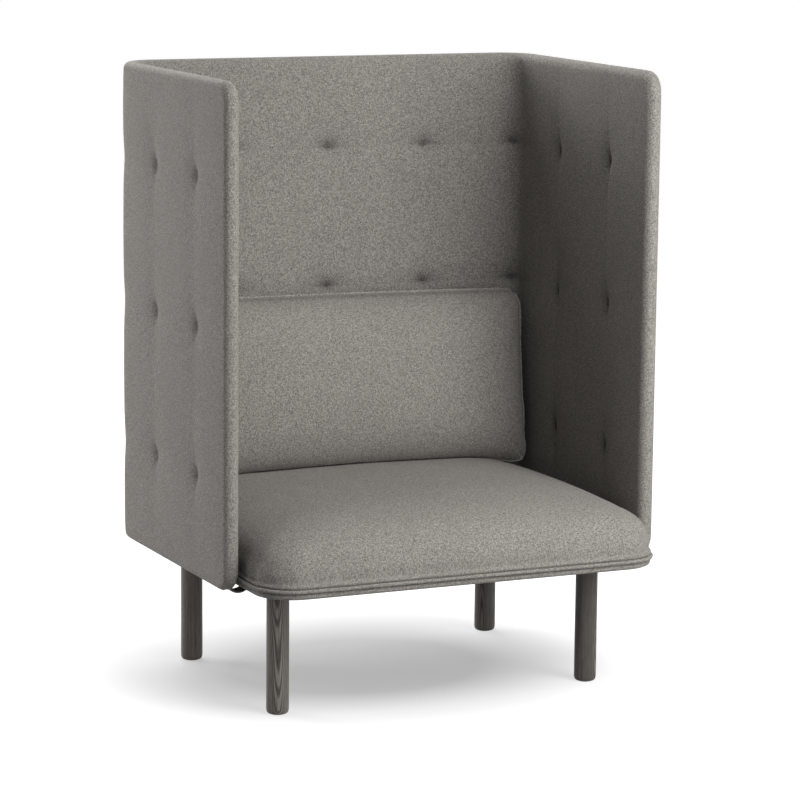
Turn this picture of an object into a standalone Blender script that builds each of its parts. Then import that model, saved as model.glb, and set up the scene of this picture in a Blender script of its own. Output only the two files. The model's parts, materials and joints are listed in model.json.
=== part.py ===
"""High-back lounge armchair: a three-sided tufted screen, a crowned seat and a loose lumbar cushion.

Metres. X runs across the chair, +Y to its back and Z up from the floor.
Y = 0 is the middle of the overall depth.
"""
import math

import bmesh
import bpy
from mathutils import Matrix, Vector
from mathutils.bvhtree import BVHTree

# Screen: outside sizes, the middle line is worked out from them.
SCREEN_WIDTH = 1.000
SCREEN_DEPTH = 0.672
SCREEN_TOP = 1.320
SCREEN_BOTTOM = 0.272
PAD_THICK = 0.040
SCREEN_CORNER = 0.088
TOP_FRONT_ROUND = 0.030
BOTTOM_FRONT_ROUND = 0.042
CORE_THICK = 0.012
CORE_INSET = 0.022

# Tufts: both faces of a pad are drawn together at each of them.
TUFT_TOP_ROW = 1.116
TUFT_ROW_PITCH = 0.312
TUFT_ROWS = 3
TUFT_COLUMN_PITCH = 0.236
SIDE_TUFT_FIRST = 0.178
SIDE_TUFT_COLUMNS = 2
BACK_TUFT_COLUMNS = 3
TUFT_DEPTH = 0.0095
TUFT_REACH = 0.034
TUFT_VALLEY = 0.0015

# Seat: sizes over the welt, which stands between the side pads.
SEAT_OVERHANG = 0.134
SEAT_UNDERSIDE = 0.280
SEAT_FRONT_CORNER = 0.090
SEAT_REAR_CORNER = 0.060
SEAT_RISE = 0.138
SEAT_FULLNESS = 5.0
SEAT_FALL_ACROSS_SHARE = 0.09
SEAT_FALL_DEEP_SHARE = 0.12
SEAT_SIDE_GAP = 0.0005
BAND_INSET = 0.008
BAND_THICK = 0.002
BAND_TURN = 0.025
DECK_THICK = 0.015
WELT_RADIUS = 0.005

# Loose lumbar cushion.
LUMBAR_SIDE_GAP = 0.012
LUMBAR_HEIGHT = 0.374
LUMBAR_THICK = 0.165
LUMBAR_LEAN_DEGREES = 7.0
LUMBAR_DROOP = 0.022
LUMBAR_BACK_GAP = 0.004
LUMBAR_TOP_SLIMMER_SHARE = 0.12
LUMBAR_SIDE_PULL_SHARE = 0.012
LUMBAR_EDGE_PULL_SHARE = 0.02

# Legs and their fittings.
LEG_DIAMETER = 0.0477
LEG_SIDE_INSET = 0.0985
LEG_FRONT_INSET = 0.182
LEG_REAR_INSET = 0.0855
LEG_CHAMFER = 0.0075
GLIDE_DIAMETER = 0.034
GLIDE_HEIGHT = 0.006
GLIDE_EDGE = 0.001
NAIL_DIAMETER = 0.003
NAIL_LENGTH = 0.016
LEG_PLATE_DIAMETER = 0.054
LEG_PLATE_THICK = 0.003
BARREL_DIAMETER = 0.016
BARREL_RISE = 0.014
HANGER_DIAMETER = 0.008
HANGER_DEPTH = 0.030

# Straps that carry the screen, and their bolts.
STRAP_THICK = 0.003
STRAP_WIDTH = 0.034
STRAP_DECK_REACH = 0.062
STRAP_DIP = 0.0145
STRAP_DIP_START = -0.036
STRAP_DIP_END = 0.006
STRAP_CORE_REACH = 0.028
STRAP_FRONT_INSET = 0.072
STRAP_REAR_INSET = 0.134
STRAP_BACK_PLACE = 0.240
STRAP_DECK_BOLT = 0.046
BOLT_DIAMETER = 0.006
BOLT_HEAD_DIAMETER = 0.012
BOLT_HEAD_HEIGHT = 0.0035
DECK_BOLT_GRIP = 0.010
CORE_BOLT_GRIP = 0.030

# Clearances and the fineness of the meshes.
CLEAR = 0.0003
CUT_OVER = 0.010
BULLNOSE_STEPS = 3
PAD_STEP = 0.100
ARC_STEPS = 8
LATHE_STEPS = 28
SMALL_LATHE_STEPS = 16
EDGE_SAMPLES = 12
SEAT_RINGS = 16
SEAT_SIDE_STEP = 0.130
SEAT_RING_CROWDING = 1.8
LUMBAR_COLUMNS = 14
LUMBAR_ROWS = 10

# Levels and places that follow from the sizes above.
DEPTH = SEAT_OVERHANG + SCREEN_DEPTH
SEAT_FRONT = -DEPTH / 2
SCREEN_FRONT = SEAT_FRONT + SEAT_OVERHANG
SCREEN_BACK = DEPTH / 2
PAD_HALF = PAD_THICK / 2
MID_HALF_WIDTH = SCREEN_WIDTH / 2 - PAD_HALF
MID_BACK = SCREEN_BACK - PAD_HALF
MID_RADIUS = SCREEN_CORNER - PAD_HALF
INNER_HALF_WIDTH = SCREEN_WIDTH / 2 - PAD_THICK
INNER_BACK = SCREEN_BACK - PAD_THICK
SIDE_LENGTH = MID_BACK - MID_RADIUS - SCREEN_FRONT
ARC_LENGTH = MID_RADIUS * math.pi / 2
BACK_LENGTH = 2 * (MID_HALF_WIDTH - MID_RADIUS)
SCREEN_LENGTH = 2 * SIDE_LENGTH + 2 * ARC_LENGTH + BACK_LENGTH

SLOT_HALF = CORE_THICK / 2 + CLEAR
CORE_BOTTOM = SEAT_UNDERSIDE
CORE_TOP = SCREEN_TOP - CORE_INSET

SEAT_HALF_WIDTH = INNER_HALF_WIDTH - SEAT_SIDE_GAP
SEAT_BACK = INNER_BACK - SEAT_SIDE_GAP
SEAT_HALF_DEPTH = (SEAT_BACK - SEAT_FRONT) / 2
SEAT_MIDDLE = (SEAT_BACK + SEAT_FRONT) / 2
DECK_BOTTOM = SEAT_UNDERSIDE + BAND_THICK + CLEAR
DECK_TOP = DECK_BOTTOM + DECK_THICK
DECK_INSET = 2 * WELT_RADIUS + CLEAR
CUSHION_BOTTOM = DECK_TOP + CLEAR
CUSHION_INSET = DECK_INSET + 2 * CLEAR
BAND_TOP = DECK_TOP - math.sqrt(WELT_RADIUS ** 2 - (BAND_INSET - WELT_RADIUS) ** 2) - CLEAR

LUMBAR_HALF_WIDTH = INNER_HALF_WIDTH - LUMBAR_SIDE_GAP

LEG_PLATE_TOP = SEAT_UNDERSIDE - CLEAR
LEG_PLATE_BOTTOM = LEG_PLATE_TOP - LEG_PLATE_THICK
LEG_TOP = LEG_PLATE_BOTTOM - CLEAR
LEG_BOTTOM = GLIDE_HEIGHT + CLEAR
LEG_HALF_SPAN = SEAT_HALF_WIDTH - LEG_SIDE_INSET
LEG_FRONT = SEAT_FRONT + LEG_FRONT_INSET
LEG_REAR = SEAT_BACK - LEG_REAR_INSET
STRAP_TOP = SEAT_UNDERSIDE - CLEAR
STRAP_FRONT = SCREEN_FRONT + STRAP_FRONT_INSET
STRAP_REAR = SCREEN_FRONT + SIDE_LENGTH - STRAP_REAR_INSET

COLLECTION_NAME = "lounge_armchair"
CUTTER_COLLECTION_NAME = "cutters"

SIDES = {"left": -1, "right": 1}
ENDS = {"front": LEG_FRONT, "rear": LEG_REAR}


def clear_scene():
    for obj in list(bpy.data.objects):
        bpy.data.objects.remove(obj, do_unlink=True)


def collection(name):
    found = bpy.data.collections.get(name)
    if found is None:
        found = bpy.data.collections.new(name)
        bpy.context.scene.collection.children.link(found)
    return found


def material(name, colour, roughness, metallic=0.0):
    made = bpy.data.materials.get(name)
    if made is None:
        made = bpy.data.materials.new(name)
        made.use_nodes = True
        shader = made.node_tree.nodes["Principled BSDF"]
        shader.inputs["Base Color"].default_value = (*colour, 1.0)
        shader.inputs["Roughness"].default_value = roughness
        shader.inputs["Metallic"].default_value = metallic
    return made


def screen_fabric():
    return material("screen_fabric", (0.21, 0.20, 0.185), 0.92)


def seat_fabric():
    return material("seat_fabric", (0.23, 0.22, 0.205), 0.92)


def lumbar_fabric():
    return material("lumbar_fabric", (0.22, 0.21, 0.195), 0.92)


def dust_cloth():
    return material("dust_cloth", (0.02, 0.02, 0.02), 0.95)


def plywood():
    return material("plywood", (0.52, 0.38, 0.24), 0.6)


def stained_ash():
    return material("stained_ash", (0.075, 0.065, 0.055), 0.5)


def black_steel():
    return material("black_steel", (0.05, 0.05, 0.05), 0.45, 0.9)


def zinc_steel():
    return material("zinc_steel", (0.55, 0.55, 0.56), 0.35, 1.0)


def glide_plastic():
    return material("glide_plastic", (0.03, 0.03, 0.03), 0.6)


def add_object(name, mesh_builder, surface, place=(0.0, 0.0, 0.0), turn=0.0):
    """Put a finished edit mesh into the chair's collection under its own name."""
    mesh = bpy.data.meshes.new(name)
    mesh_builder.to_mesh(mesh)
    mesh_builder.free()
    obj = bpy.data.objects.new(name, mesh)
    obj.location = place
    obj.rotation_euler = (0.0, 0.0, turn)
    if surface is None:
        obj.hide_render = True
        obj.display_type = "WIRE"
        collection(CUTTER_COLLECTION_NAME).objects.link(obj)
    else:
        mesh.materials.append(surface)
        collection(COLLECTION_NAME).objects.link(obj)
    return obj


def subtract(obj, cutter):
    cut = obj.modifiers.new("cut_" + cutter.name, "BOOLEAN")
    cut.operation = "DIFFERENCE"
    cut.solver = "EXACT"
    cut.object = cutter


def solidify(obj, thickness):
    thick = obj.modifiers.new("thickness", "SOLIDIFY")
    thick.thickness = thickness
    thick.offset = 0.0
    thick.use_even_offset = True


def lathe(name, profile, surface, place, steps, closed=False):
    """Turn a profile of (radius, height) points about the vertical through place."""
    bm = bmesh.new()
    points = [bm.verts.new((radius, 0.0, height)) for radius, height in profile]
    for first, second in zip(points, points[1:]):
        bm.edges.new((first, second))
    if closed:
        bm.edges.new((points[-1], points[0]))
    obj = add_object(name, bm, surface, place)
    turn = obj.modifiers.new("turned", "SCREW")
    turn.axis = "Z"
    turn.angle = 2 * math.pi
    turn.steps = steps
    turn.render_steps = steps
    turn.use_merge_vertices = True
    turn.merge_threshold = 0.00005
    return obj


def rods(bm, places, diameter, bottom, top):
    """Add one upright round rod at each (x, y) place."""
    for x, y in places:
        made = bmesh.ops.create_cone(
            bm, cap_ends=True, segments=SMALL_LATHE_STEPS,
            radius1=diameter / 2, radius2=diameter / 2, depth=top - bottom)
        bmesh.ops.translate(bm, verts=made["verts"], vec=(x, y, (top + bottom) / 2))


def prism(bm, outline, bottom, top):
    """Add an upright prism over a plan outline."""
    base = bm.faces.new([bm.verts.new((x, y, bottom)) for x, y in outline])
    raised = bmesh.ops.extrude_face_region(bm, geom=[base])
    lifted = [item for item in raised["geom"] if isinstance(item, bmesh.types.BMVert)]
    bmesh.ops.translate(bm, verts=lifted, vec=(0.0, 0.0, top - bottom))
    bmesh.ops.recalc_face_normals(bm, faces=bm.faces)


# Screen

def screen_path(along):
    """Plan place and outward direction on the screen's middle line, from its left front edge."""
    if along > SCREEN_LENGTH / 2:
        place, out = screen_path(SCREEN_LENGTH - along)
        return Vector((-place.x, place.y)), Vector((-out.x, out.y))
    if along <= SIDE_LENGTH:
        return Vector((-MID_HALF_WIDTH, SCREEN_FRONT + along)), Vector((-1.0, 0.0))
    if along <= SIDE_LENGTH + ARC_LENGTH:
        angle = (along - SIDE_LENGTH) / MID_RADIUS
        out = Vector((-math.cos(angle), math.sin(angle)))
        centre = Vector((-MID_HALF_WIDTH + MID_RADIUS, MID_BACK - MID_RADIUS))
        return centre + out * MID_RADIUS, out
    run = along - SIDE_LENGTH - ARC_LENGTH
    return Vector((-MID_HALF_WIDTH + MID_RADIUS + run, MID_BACK)), Vector((0.0, 1.0))


def tuft_columns():
    """Places of the tuft columns along the middle line, left front edge to right front edge."""
    sides = [SIDE_TUFT_FIRST + TUFT_COLUMN_PITCH * k for k in range(SIDE_TUFT_COLUMNS)]
    corner = SIDE_LENGTH + ARC_LENGTH / 2
    middle = SCREEN_LENGTH / 2
    spread = (BACK_TUFT_COLUMNS - 1) / 2
    back = [middle + TUFT_COLUMN_PITCH * (k - spread) for k in range(BACK_TUFT_COLUMNS)]
    left = sides + [corner]
    return left + back + [SCREEN_LENGTH - place for place in reversed(left)]


def tuft_rows():
    return [TUFT_TOP_ROW - TUFT_ROW_PITCH * k for k in range(TUFT_ROWS)]


def bell(distance, reach):
    return math.exp(-(distance / reach) ** 2)


def pad_half_thickness(along, height, edge):
    """Half the pad's thickness, edge metres in from its nearest free edge."""
    lean = max(0.0, 1.0 - edge / PAD_HALF)
    full = PAD_HALF * math.sqrt(1.0 - lean ** 2)
    column = min(abs(along - place) for place in tuft_columns())
    row = min(abs(height - place) for place in tuft_rows())
    dimple = TUFT_DEPTH * bell(math.hypot(column, row), TUFT_REACH)
    valley = TUFT_VALLEY * max(bell(column, TUFT_REACH), bell(row, TUFT_REACH))
    fade = min(1.0, edge / (3 * PAD_HALF))
    return full - fade * max(dimple, valley)


def grid_lines(start, end, start_free, end_free, tufts):
    """Grid places from start to end: close at free edges and tufts, evenly spaced between them."""
    rounding = [PAD_HALF * (1 - math.cos(math.pi / 2 * k / BULLNOSE_STEPS))
                for k in range(BULLNOSE_STEPS + 1)]
    fixed = {start, end}
    if start_free:
        fixed.update(start + step for step in rounding)
    if end_free:
        fixed.update(end - step for step in rounding)
    for tuft in tufts:
        if start < tuft < end:
            fixed.update((tuft - TUFT_REACH * 0.8, tuft, tuft + TUFT_REACH * 0.8))
    ordered = sorted(fixed)
    lines = [ordered[0]]
    for low, high in zip(ordered, ordered[1:]):
        count = max(1, math.ceil((high - low) / PAD_STEP))
        lines += [low + (high - low) * (k + 1) / count for k in range(count)]
    return lines


def round_corner(edge_in, height_in, radius):
    """Pull a place near a square corner onto round rings; both distances are from the free edges."""
    if edge_in >= radius or height_in >= radius:
        return edge_in, height_in
    across = radius - edge_in
    up = radius - height_in
    ring = max(across, up)
    reach = math.hypot(across, up)
    if reach == 0.0:
        return edge_in, height_in
    return radius - across * ring / reach, radius - up * ring / reach


def pad_sheet(bm, along_lines, height_lines, side):
    """Add one face of a pad as a grid; side is +1 for the outer face and -1 for the inner one."""
    columns = len(along_lines) - 1
    rows = len(height_lines) - 1
    made = bmesh.ops.create_grid(bm, x_segments=columns, y_segments=rows, size=1.0)
    for vert in made["verts"]:
        along = along_lines[round((vert.co.x + 1) / 2 * columns)]
        height = height_lines[round((vert.co.y + 1) / 2 * rows)]
        near_front = min(along, SCREEN_LENGTH - along)
        near_top = SCREEN_TOP - height
        near_bottom = height - SCREEN_BOTTOM
        edge = min(near_front, near_top, near_bottom)
        half = pad_half_thickness(along, height, edge)
        front, top = round_corner(near_front, near_top, TOP_FRONT_ROUND)
        front, bottom = round_corner(front, near_bottom, BOTTOM_FRONT_ROUND)
        height += (near_top - top) - (near_bottom - bottom)
        shift = front - near_front
        along += shift if along < SCREEN_LENGTH / 2 else -shift
        place, out = screen_path(along)
        place = place + out * half * side
        vert.co = (place.x, place.y, height)


def screen_pad(name, start, end, cutters):
    """One tufted pad between two places on the middle line, cut from below for the core and straps."""
    start_free = start == 0.0
    end_free = end == SCREEN_LENGTH
    along_lines = grid_lines(start, end, start_free, end_free, tuft_columns())
    height_lines = grid_lines(SCREEN_BOTTOM, SCREEN_TOP, True, True, tuft_rows())
    if not start_free and not end_free:
        corners = (start + ARC_LENGTH, end - ARC_LENGTH)
        along_lines = sorted(set(along_lines) | set(corners))
    bm = bmesh.new()
    pad_sheet(bm, along_lines, height_lines, 1)
    pad_sheet(bm, along_lines, height_lines, -1)
    bmesh.ops.remove_doubles(bm, verts=bm.verts, dist=1e-6)
    rim = [edge for edge in bm.edges if edge.is_boundary]
    bmesh.ops.holes_fill(bm, edges=rim, sides=0)
    bmesh.ops.recalc_face_normals(bm, faces=bm.faces)
    pad = add_object(name, bm, screen_fabric())
    for cutter in cutters:
        subtract(pad, cutter)
    return pad


def core_strip(bm, inset, bottom, top):
    """Add the core's middle surface: an upright strip along the screen's middle line."""
    arc = [SIDE_LENGTH + ARC_LENGTH * k / ARC_STEPS for k in range(ARC_STEPS + 1)]
    left = [inset] + arc
    stations = left + [SCREEN_LENGTH - place for place in reversed(left)]
    feet = [bm.verts.new((*screen_path(along)[0], bottom)) for along in stations]
    run = [bm.edges.new(pair) for pair in zip(feet, feet[1:])]
    raised = bmesh.ops.extrude_edge_only(bm, edges=run)
    lifted = [item for item in raised["geom"] if isinstance(item, bmesh.types.BMVert)]
    bmesh.ops.translate(bm, verts=lifted, vec=(0.0, 0.0, top - bottom))


def slot_for_core():
    bm = bmesh.new()
    core_strip(bm, CORE_INSET - CLEAR, SCREEN_BOTTOM - CUT_OVER, CORE_TOP + CLEAR)
    cutter = add_object("core_slot", bm, None)
    solidify(cutter, 2 * SLOT_HALF)
    return cutter


def strap_notches():
    """Cutter for the notches under the pads that let the straps reach the core."""
    bm = bmesh.new()
    half = STRAP_WIDTH / 2 + CLEAR
    for x, y, turn in strap_places().values():
        outward = Vector((math.cos(turn), math.sin(turn)))
        side = Vector((-outward.y, outward.x))
        reach = outward * (STRAP_CORE_REACH + CLEAR)
        start = outward * -CUT_OVER
        place = Vector((x, y))
        corners = (place + start - side * half, place + reach - side * half,
                   place + reach + side * half, place + start + side * half)
        prism(bm, corners, SCREEN_BOTTOM - CUT_OVER, SEAT_UNDERSIDE)
    return add_object("strap_notches", bm, None)


def screen_core(bolt_holes):
    bm = bmesh.new()
    core_strip(bm, CORE_INSET, CORE_BOTTOM, CORE_TOP)
    core = add_object("screen_core", bm, plywood())
    solidify(core, CORE_THICK)
    subtract(core, bolt_holes)
    return core


def screen(core_holes):
    cutters = [slot_for_core(), strap_notches()]
    seam = SIDE_LENGTH
    screen_pad("screen_pad_left", 0.0, seam - CLEAR / 2, cutters)
    screen_pad("screen_pad_back", seam + CLEAR / 2, SCREEN_LENGTH - seam - CLEAR / 2, cutters)
    screen_pad("screen_pad_right", SCREEN_LENGTH - seam + CLEAR / 2, SCREEN_LENGTH, cutters)
    screen_core(core_holes)


# Seat

def seat_outline(inset):
    """Plan outline of the seat, inset from the outside of the welt, anticlockwise from above."""
    half_width = SEAT_HALF_WIDTH - inset
    front = SEAT_FRONT + inset
    back = SEAT_BACK - inset
    front_radius = SEAT_FRONT_CORNER - inset
    rear_radius = SEAT_REAR_CORNER - inset
    corners = (
        (half_width - rear_radius, back - rear_radius, rear_radius),
        (-half_width + rear_radius, back - rear_radius, rear_radius),
        (-half_width + front_radius, front + front_radius, front_radius),
        (half_width - front_radius, front + front_radius, front_radius),
    )
    outline = []
    for quarter, (x, y, radius) in enumerate(corners):
        for k in range(ARC_STEPS + 1):
            angle = math.pi / 2 * (quarter + k / ARC_STEPS)
            outline.append((x + radius * math.cos(angle), y + radius * math.sin(angle)))
    return outline


def seat_deck(holes):
    bm = bmesh.new()
    prism(bm, seat_outline(DECK_INSET), DECK_BOTTOM, DECK_TOP)
    deck = add_object("seat_deck", bm, plywood())
    subtract(deck, holes)
    return deck


def seat_band():
    """Cloth band round the deck's edge, turned under it."""
    bm = bmesh.new()
    prism(bm, seat_outline(BAND_INSET), SEAT_UNDERSIDE, BAND_TOP)
    band = add_object("seat_band", bm, seat_fabric())
    bm = bmesh.new()
    prism(bm, seat_outline(BAND_INSET + BAND_THICK), SEAT_UNDERSIDE + BAND_THICK, BAND_TOP + CUT_OVER)
    subtract(band, add_object("band_hollow", bm, None))
    bm = bmesh.new()
    prism(bm, seat_outline(BAND_INSET + BAND_TURN), SEAT_UNDERSIDE - CUT_OVER, BAND_TOP + CUT_OVER)
    subtract(band, add_object("band_window", bm, None))
    return band


def dust_cover(holes):
    bm = bmesh.new()
    inset = BAND_INSET + BAND_TURN + CLEAR
    prism(bm, seat_outline(inset), SEAT_UNDERSIDE, SEAT_UNDERSIDE + BAND_THICK)
    cover = add_object("dust_cover", bm, dust_cloth())
    subtract(cover, holes)
    return cover


def seat_welt():
    """Piping round the seat, swept as a round tube and made a mesh."""
    curve = bpy.data.curves.new("welt_path", "CURVE")
    curve.dimensions = "3D"
    curve.bevel_depth = WELT_RADIUS
    curve.bevel_resolution = 1
    outline = seat_outline(WELT_RADIUS)
    run = curve.splines.new("POLY")
    run.points.add(len(outline) - 1)
    for point, (x, y) in zip(run.points, outline):
        point.co = (x, y, DECK_TOP, 1.0)
    run.use_cyclic_u = True
    swept = bpy.data.objects.new("welt_path", curve)
    collection(COLLECTION_NAME).objects.link(swept)
    ready = swept.evaluated_get(bpy.context.evaluated_depsgraph_get())
    mesh = bpy.data.meshes.new_from_object(ready)
    bpy.data.objects.remove(swept, do_unlink=True)
    bm = bmesh.new()
    bm.from_mesh(mesh)
    bpy.data.meshes.remove(mesh)
    bmesh.ops.remove_doubles(bm, verts=bm.verts, dist=1e-6)
    bmesh.ops.recalc_face_normals(bm, faces=bm.faces)
    return add_object("seat_welt", bm, seat_fabric())


def seat_border():
    """The cushion's outline, with points along its straight runs too."""
    outline = seat_outline(CUSHION_INSET)
    border = []
    for (x, y), (next_x, next_y) in zip(outline, outline[1:] + outline[:1]):
        count = max(1, math.ceil(math.hypot(next_x - x, next_y - y) / SEAT_SIDE_STEP))
        border += [(x + (next_x - x) * k / count, y + (next_y - y) * k / count) for k in range(count)]
    return border


def seat_profile(share):
    """Plan scale and rise of the cushion's surface, share of the way from its border to its middle."""
    angle = math.pi / 2 * (1 - (1 - share) ** SEAT_RING_CROWDING)
    power = 2 / SEAT_FULLNESS
    return math.cos(angle) ** power, SEAT_RISE * math.sin(angle) ** power


def seat_ring(bm, border, share):
    """One ring of the cushion's surface; the crown falls off towards the sides and the ends."""
    scale, rise = seat_profile(share)
    ring = []
    for border_x, border_y in border:
        x = border_x * scale
        deep = (border_y - SEAT_MIDDLE) * scale
        fall = SEAT_FALL_ACROSS_SHARE * (x / SEAT_HALF_WIDTH) ** 2
        fall += SEAT_FALL_DEEP_SHARE * (deep / SEAT_HALF_DEPTH) ** 2
        ring.append(bm.verts.new((x, SEAT_MIDDLE + deep, CUSHION_BOTTOM + rise * (1 - fall))))
    return [bm.edges.new(pair) for pair in zip(ring, ring[1:] + ring[:1])]


def seat_cushion():
    """Crowned seat: rings of the seat's outline climb a rounded profile and are bridged."""
    bm = bmesh.new()
    border = seat_border()
    loops = [seat_ring(bm, border, k / SEAT_RINGS) for k in range(SEAT_RINGS)]
    for lower, upper in zip(loops, loops[1:]):
        bmesh.ops.bridge_loops(bm, edges=lower + upper)
    bmesh.ops.holes_fill(bm, edges=loops[0] + loops[-1], sides=0)
    bmesh.ops.recalc_face_normals(bm, faces=bm.faces)
    bmesh.ops.triangulate(bm, faces=bm.faces)
    return add_object("seat_cushion", bm, seat_fabric())


def seat(holes):
    seat_deck(holes)
    seat_band()
    dust_cover(holes)
    seat_welt()
    return seat_cushion()


# Lumbar cushion

def lumbar_sheet(bm, side):
    """Add one face of the lumbar cushion: a grid bulged between its sewn edges."""
    made = bmesh.ops.create_grid(bm, x_segments=LUMBAR_COLUMNS, y_segments=LUMBAR_ROWS, size=1.0)
    for vert in made["verts"]:
        across = math.sin(vert.co.x * math.pi / 2)
        up = math.sin(vert.co.y * math.pi / 2)
        bulge = ((1 - across ** 4) * (1 - up ** 4)) ** 0.5 * (1 - LUMBAR_TOP_SLIMMER_SHARE * up)
        x = LUMBAR_HALF_WIDTH * across * (1 - LUMBAR_SIDE_PULL_SHARE * (1 - up ** 2))
        z = LUMBAR_HEIGHT / 2 * up * (1 - LUMBAR_EDGE_PULL_SHARE * (1 - across ** 2))
        z -= LUMBAR_DROOP * across ** 6 * (1 - up) / 2
        vert.co = (x, side * LUMBAR_THICK / 2 * bulge, z)


def least_drop(upper, lower):
    """How far one edit mesh can sink straight down before it meets another that lies below it."""
    drops = []
    for source, target, way in ((upper, lower, -1.0), (lower, upper, 1.0)):
        tree = BVHTree.FromBMesh(target)
        for edge in source.edges:
            first, second = edge.verts
            for k in range(EDGE_SAMPLES):
                point = first.co.lerp(second.co, k / (EDGE_SAMPLES - 1))
                distance = tree.ray_cast(point, Vector((0.0, 0.0, way)))[3]
                if distance is not None:
                    drops.append(distance)
    return min(drops)


def lean_back(bm, angle):
    tilt = Matrix.Rotation(-angle, 3, "X")
    bmesh.ops.rotate(bm, verts=bm.verts, cent=(0.0, 0.0, 0.0), matrix=tilt)


def lumbar_cushion(rest_on):
    """Loose cushion, leaned back on the seat in front of the back pad; its origin is its middle."""
    bm = bmesh.new()
    lumbar_sheet(bm, 1)
    lumbar_sheet(bm, -1)
    bmesh.ops.remove_doubles(bm, verts=bm.verts, dist=1e-6)
    bmesh.ops.poke(bm, faces=bm.faces)
    bmesh.ops.recalc_face_normals(bm, faces=bm.faces)
    lean_back(bm, math.radians(LUMBAR_LEAN_DEGREES))
    back_reach = max(vert.co.y for vert in bm.verts)
    start = Vector((0.0, INNER_BACK - LUMBAR_BACK_GAP - back_reach, SCREEN_TOP))
    held = bm.copy()
    bmesh.ops.translate(held, verts=held.verts, vec=start)
    below = bmesh.new()
    below.from_mesh(rest_on.data)
    drop = least_drop(held, below) - CLEAR
    held.free()
    below.free()
    place = start - Vector((0.0, 0.0, drop))
    return add_object("lumbar_cushion", bm, lumbar_fabric(), place)


# Legs

def leg_places():
    return {
        end + "_" + side: (sign * LEG_HALF_SPAN, y)
        for end, y in ENDS.items()
        for side, sign in SIDES.items()
    }


def glide(name, place):
    lathe(name, [
        (0.0, GLIDE_HEIGHT + NAIL_LENGTH),
        (NAIL_DIAMETER / 2, GLIDE_HEIGHT + NAIL_LENGTH),
        (NAIL_DIAMETER / 2, GLIDE_HEIGHT),
        (GLIDE_DIAMETER / 2, GLIDE_HEIGHT),
        (GLIDE_DIAMETER / 2, GLIDE_EDGE),
        (GLIDE_DIAMETER / 2 - GLIDE_EDGE, 0.0),
        (0.0, 0.0),
    ], glide_plastic(), place, SMALL_LATHE_STEPS)


def leg(name, place):
    radius = LEG_DIAMETER / 2
    bore = HANGER_DIAMETER / 2 + CLEAR
    nail = NAIL_DIAMETER / 2 + CLEAR
    bore_end = LEG_TOP - HANGER_DEPTH - CLEAR
    nail_end = GLIDE_HEIGHT + NAIL_LENGTH + CLEAR
    lathe(name, [
        (0.0, bore_end),
        (bore, bore_end),
        (bore, LEG_TOP),
        (radius, LEG_TOP),
        (radius, LEG_BOTTOM + LEG_CHAMFER),
        (radius - LEG_CHAMFER, LEG_BOTTOM),
        (nail, LEG_BOTTOM),
        (nail, nail_end),
        (0.0, nail_end),
    ], stained_ash(), place, LATHE_STEPS)


def leg_plate(name, place):
    bore = HANGER_DIAMETER / 2 + CLEAR
    barrel_top = LEG_PLATE_TOP + BARREL_RISE
    lathe(name, [
        (bore, barrel_top),
        (BARREL_DIAMETER / 2, barrel_top),
        (BARREL_DIAMETER / 2, LEG_PLATE_TOP),
        (LEG_PLATE_DIAMETER / 2, LEG_PLATE_TOP),
        (LEG_PLATE_DIAMETER / 2, LEG_PLATE_BOTTOM),
        (bore, LEG_PLATE_BOTTOM),
    ], black_steel(), place, SMALL_LATHE_STEPS, closed=True)


def hanger_bolt(name, place):
    radius = HANGER_DIAMETER / 2
    top = LEG_PLATE_TOP + BARREL_RISE
    bottom = LEG_TOP - HANGER_DEPTH
    lathe(name, [(0.0, top), (radius, top), (radius, bottom), (0.0, bottom)],
          zinc_steel(), place, SMALL_LATHE_STEPS)


def legs():
    for corner, (x, y) in leg_places().items():
        place = (x, y, 0.0)
        glide("glide_" + corner, place)
        leg("leg_" + corner, place)
        leg_plate("leg_plate_" + corner, place)
        hanger_bolt("hanger_bolt_" + corner, place)


# Straps

def strap_places():
    """Each strap's plan place on the inner face of the screen, and its outward direction."""
    places = {}
    for side, sign in SIDES.items():
        turn = 0.0 if sign > 0 else math.pi
        places[side + "_front"] = (sign * INNER_HALF_WIDTH, STRAP_FRONT, turn)
        places[side + "_rear"] = (sign * INNER_HALF_WIDTH, STRAP_REAR, turn)
        places["back_" + side] = (sign * STRAP_BACK_PLACE, INNER_BACK, math.pi / 2)
    return places


def along_straps(reach):
    """Plan places reach metres outward of each strap's own place, by name."""
    return {
        name: (x + reach * math.cos(turn), y + reach * math.sin(turn))
        for name, (x, y, turn) in strap_places().items()
    }


def strap_line():
    """Middle line of a strap as (outward, height): flat, a round dip below the gap, flat."""
    level = STRAP_TOP - STRAP_THICK / 2
    centre = (STRAP_DIP_START + STRAP_DIP_END) / 2
    radius = (STRAP_DIP_END - STRAP_DIP_START) / 2
    line = [(-STRAP_DECK_REACH, level)]
    for k in range(ARC_STEPS + 1):
        angle = math.pi * k / ARC_STEPS
        line.append((centre - radius * math.cos(angle), level - STRAP_DIP * math.sin(angle)))
    line.append((STRAP_CORE_REACH, level))
    return line


def strap(name, place, turn, holes):
    bm = bmesh.new()
    points = [bm.verts.new((out, -STRAP_WIDTH / 2, height)) for out, height in strap_line()]
    run = [bm.edges.new(pair) for pair in zip(points, points[1:])]
    swept = bmesh.ops.extrude_edge_only(bm, edges=run)
    moved = [item for item in swept["geom"] if isinstance(item, bmesh.types.BMVert)]
    bmesh.ops.translate(bm, verts=moved, vec=(0.0, STRAP_WIDTH, 0.0))
    obj = add_object(name, bm, black_steel(), (*place, 0.0), turn)
    solidify(obj, STRAP_THICK)
    subtract(obj, holes)


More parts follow.
